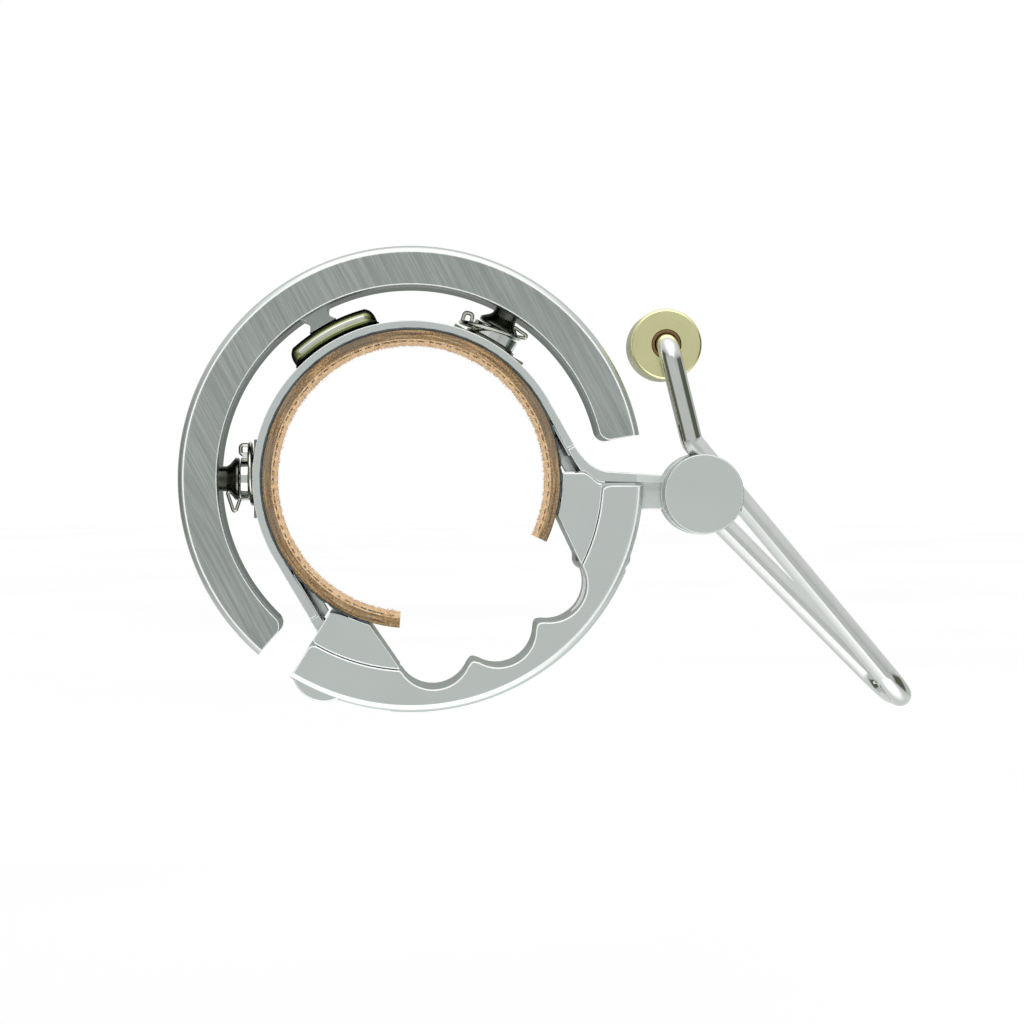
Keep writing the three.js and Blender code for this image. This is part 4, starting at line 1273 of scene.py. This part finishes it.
def make_fibres(count=7600):
    """Short curved fibres that stand up from the suede, each a thin three-sided spike."""
    draw = random.Random(11)
    points, faces = [], []
    for _ in range(count):
        angle = draw.uniform(LINER_ENDS[0] + 0.3, LINER_ENDS[1] - 0.3)
        near_edge = draw.random()
        y = draw.uniform(-5.9, 5.9) if near_edge < 0.45 else draw.choice((-1, 1)) * draw.uniform(5.3, 5.95)
        length = draw.uniform(0.22, 0.55)
        lean = draw.uniform(-70, 70)
        drift = draw.uniform(-0.25, 0.25)
        thickness = draw.uniform(0.018, 0.04)
        base = polar(nap_radius(y) + 0.08, angle)
        inward = -base.normalized()
        side = Vector((-inward.y, inward.x))
        tilt = math.radians(lean)
        way = inward * math.cos(tilt) + side * math.sin(tilt)
        root = Vector((base.x, y, base.y))
        middle = root + Vector((way.x, 0, way.y)) * length * 0.55 + Vector((0, drift * 0.4, 0))
        curl = (way + side * draw.uniform(-0.8, 0.8)).normalized()
        tip = middle + Vector((curl.x, 0, curl.y)) * length * 0.5 + Vector((0, drift * 0.6, 0))
        first = len(points)
        for place, size in ((root, thickness), (middle, thickness * 0.7)):
            for k in range(3):
                turn = 2 * math.pi * k / 3
                offset = Vector((side.x * math.cos(turn), math.sin(turn), side.y * math.cos(turn))) * size
                points.append(place + offset)
        points.append(tip)
        for k in range(3):
            m = (k + 1) % 3
            faces.append((first + k, first + m, first + 3 + m, first + 3 + k))
            faces.append((first + 3 + k, first + 3 + m, first + 6))
        faces.append((first + 2, first + 1, first))
    fibres = mesh_object("suede_fibres", points, faces)
    return dress(fibres, "bracket", [], FIBRE)


def make_backing():
    """A thin strip whose outer side is a row of shallow beads, with a lip over the arch's front and rear."""
    inner, outer = BACKING
    pitch, height, y = 6.1, 0.2, HALF_WIDTH - 0.02

    def section(angle):
        bead = math.sin(math.pi * ((angle - BACKING_ENDS[0]) % pitch) / pitch)
        lip = outer + height * max(0.0, bead) ** 0.55
        front = [(inner, -y), (lip, -y), (lip, -5.62), (outer, -5.6)]
        return front + [(radius, -place) for radius, place in reversed(front)]

    strip_piece = ring_band("ribbed_strip", section, BACKING_ENDS, 0.5)
    return dress(soften_shading(strip_piece, 50), "bracket", ["liner_backing"], SLATE)


make_liner()
make_stitches()
make_fibres()
make_backing()

# ---- Floor, light and camera --------------------------------------------------------------------

FLOOR_Z = -95
WALL, DARK, BACK = (0.54, 0.56, 0.55), (0.10, 0.11, 0.08), (0.50, 0.52, 0.50)
BEHIND = (0.19, 0.21, 0.19)
PANEL, PANEL_SIDE, PANEL_FAR = (1.6, 1.6, 1.6), (0.85, 0.86, 0.85), (0.68, 0.70, 0.68)
GREY = (0.42, 0.43, 0.42)
SIDE_START, SIDE_END, SIDE_SLANT = 0.15, 0.66, 0.12
PANEL_START = 0.38
AMBIENT = 1.14
CAMERA_DISTANCE = 348
VIEW_TURN, VIEW_TILT = 1.888, 0.622
LENS = 107.5


def make_floor():
    size = 6000
    corners = [(x * size, y * size, FLOOR_Z) for x, y in ((-1, -1), (1, -1), (1, 1), (-1, 1))]
    floor = mesh_object("floor", corners, [(0, 1, 2, 3)])
    s = Shader("floor_paint", Roughness=0.9)
    tone = s.noise(s.place(), 3, 2)
    floor.visible_glossy = False
    paint = s.ramp(tone, [(0.3, (0.90, 0.90, 0.90)), (0.7, (0.93, 0.93, 0.93))])
    floor.data.materials.append(s.feed(Base_Color=paint))


def make_world():
    """A studio: a grey wall faces the bell, white panels lie above and below, and the sides are dark."""
    world = bpy.data.worlds.new("studio")
    bpy.context.scene.world = world
    world.use_nodes = True
    n = Nodes(world.node_tree)
    output = n.tree.nodes.new("ShaderNodeOutputWorld")
    across, depth, height = n.split(n.node("TexCoord", output="Generated"))
    slant = n.add(depth, n.times(across, SIDE_SLANT))
    width, rise = n.times(across, across), n.times(height, height)
    roll = n.math("SQRT", n.math("DIVIDE", rise, n.add(n.add(width, rise), 0.001)))
    sides = n.ramp(n.spread(slant, -1, 1), [
        (0.0, WALL), (SIDE_START, WALL), (SIDE_START + 0.09, DARK), (SIDE_END, DARK), (SIDE_END + 0.1, BACK)])
    panels = n.ramp(roll, [(PANEL_START, GREY), (0.72, PANEL_SIDE), (0.93, PANEL)])
    panels = n.mix(n.spread(depth, -0.4, 0.5), panels, (*PANEL_FAR, 1))
    raised = n.spread(roll, PANEL_START - 0.1, PANEL_START)
    near_wall = n.spread(depth, -0.95, -0.89)
    reach = n.times(raised, near_wall)
    studio = n.mix(n.spread(depth, 0.985, 0.995), n.mix(reach, sides, panels), (*BEHIND, 1))
    reflected = n.node("Background", {0: studio})
    ambient = n.node("Background", {0: (AMBIENT, AMBIENT, AMBIENT, 1)})
    seen = n.node("Background", {0: (1, 1, 1, 1)})
    path = n.tree.nodes.new("ShaderNodeLightPath")
    light = n.node("MixShader", {0: path.outputs["Is Diffuse Ray"], 1: reflected, 2: ambient})
    n.put(n.node("MixShader", {0: path.outputs["Is Camera Ray"], 1: light, 2: seen}), output.inputs[0])


def make_camera():
    data = bpy.data.cameras.new("camera")
    data.lens = LENS
    data.sensor_width = 36
    data.clip_start = 0.01
    camera = bpy.data.objects.new("camera", data)
    bpy.context.scene.collection.objects.link(camera)
    camera.location = (0, -(CAMERA_DISTANCE + HALF_WIDTH) * MM, 0)
    turn, tilt = math.radians(VIEW_TURN), math.radians(VIEW_TILT)
    aim = Vector((math.tan(turn), 1, -math.tan(tilt)))
    camera.rotation_euler = aim.to_track_quat("-Z", "Y").to_euler()
    bpy.context.scene.camera = camera


make_floor()
make_world()
make_camera()
bpy.context.scene.view_settings.view_transform = "Standard"
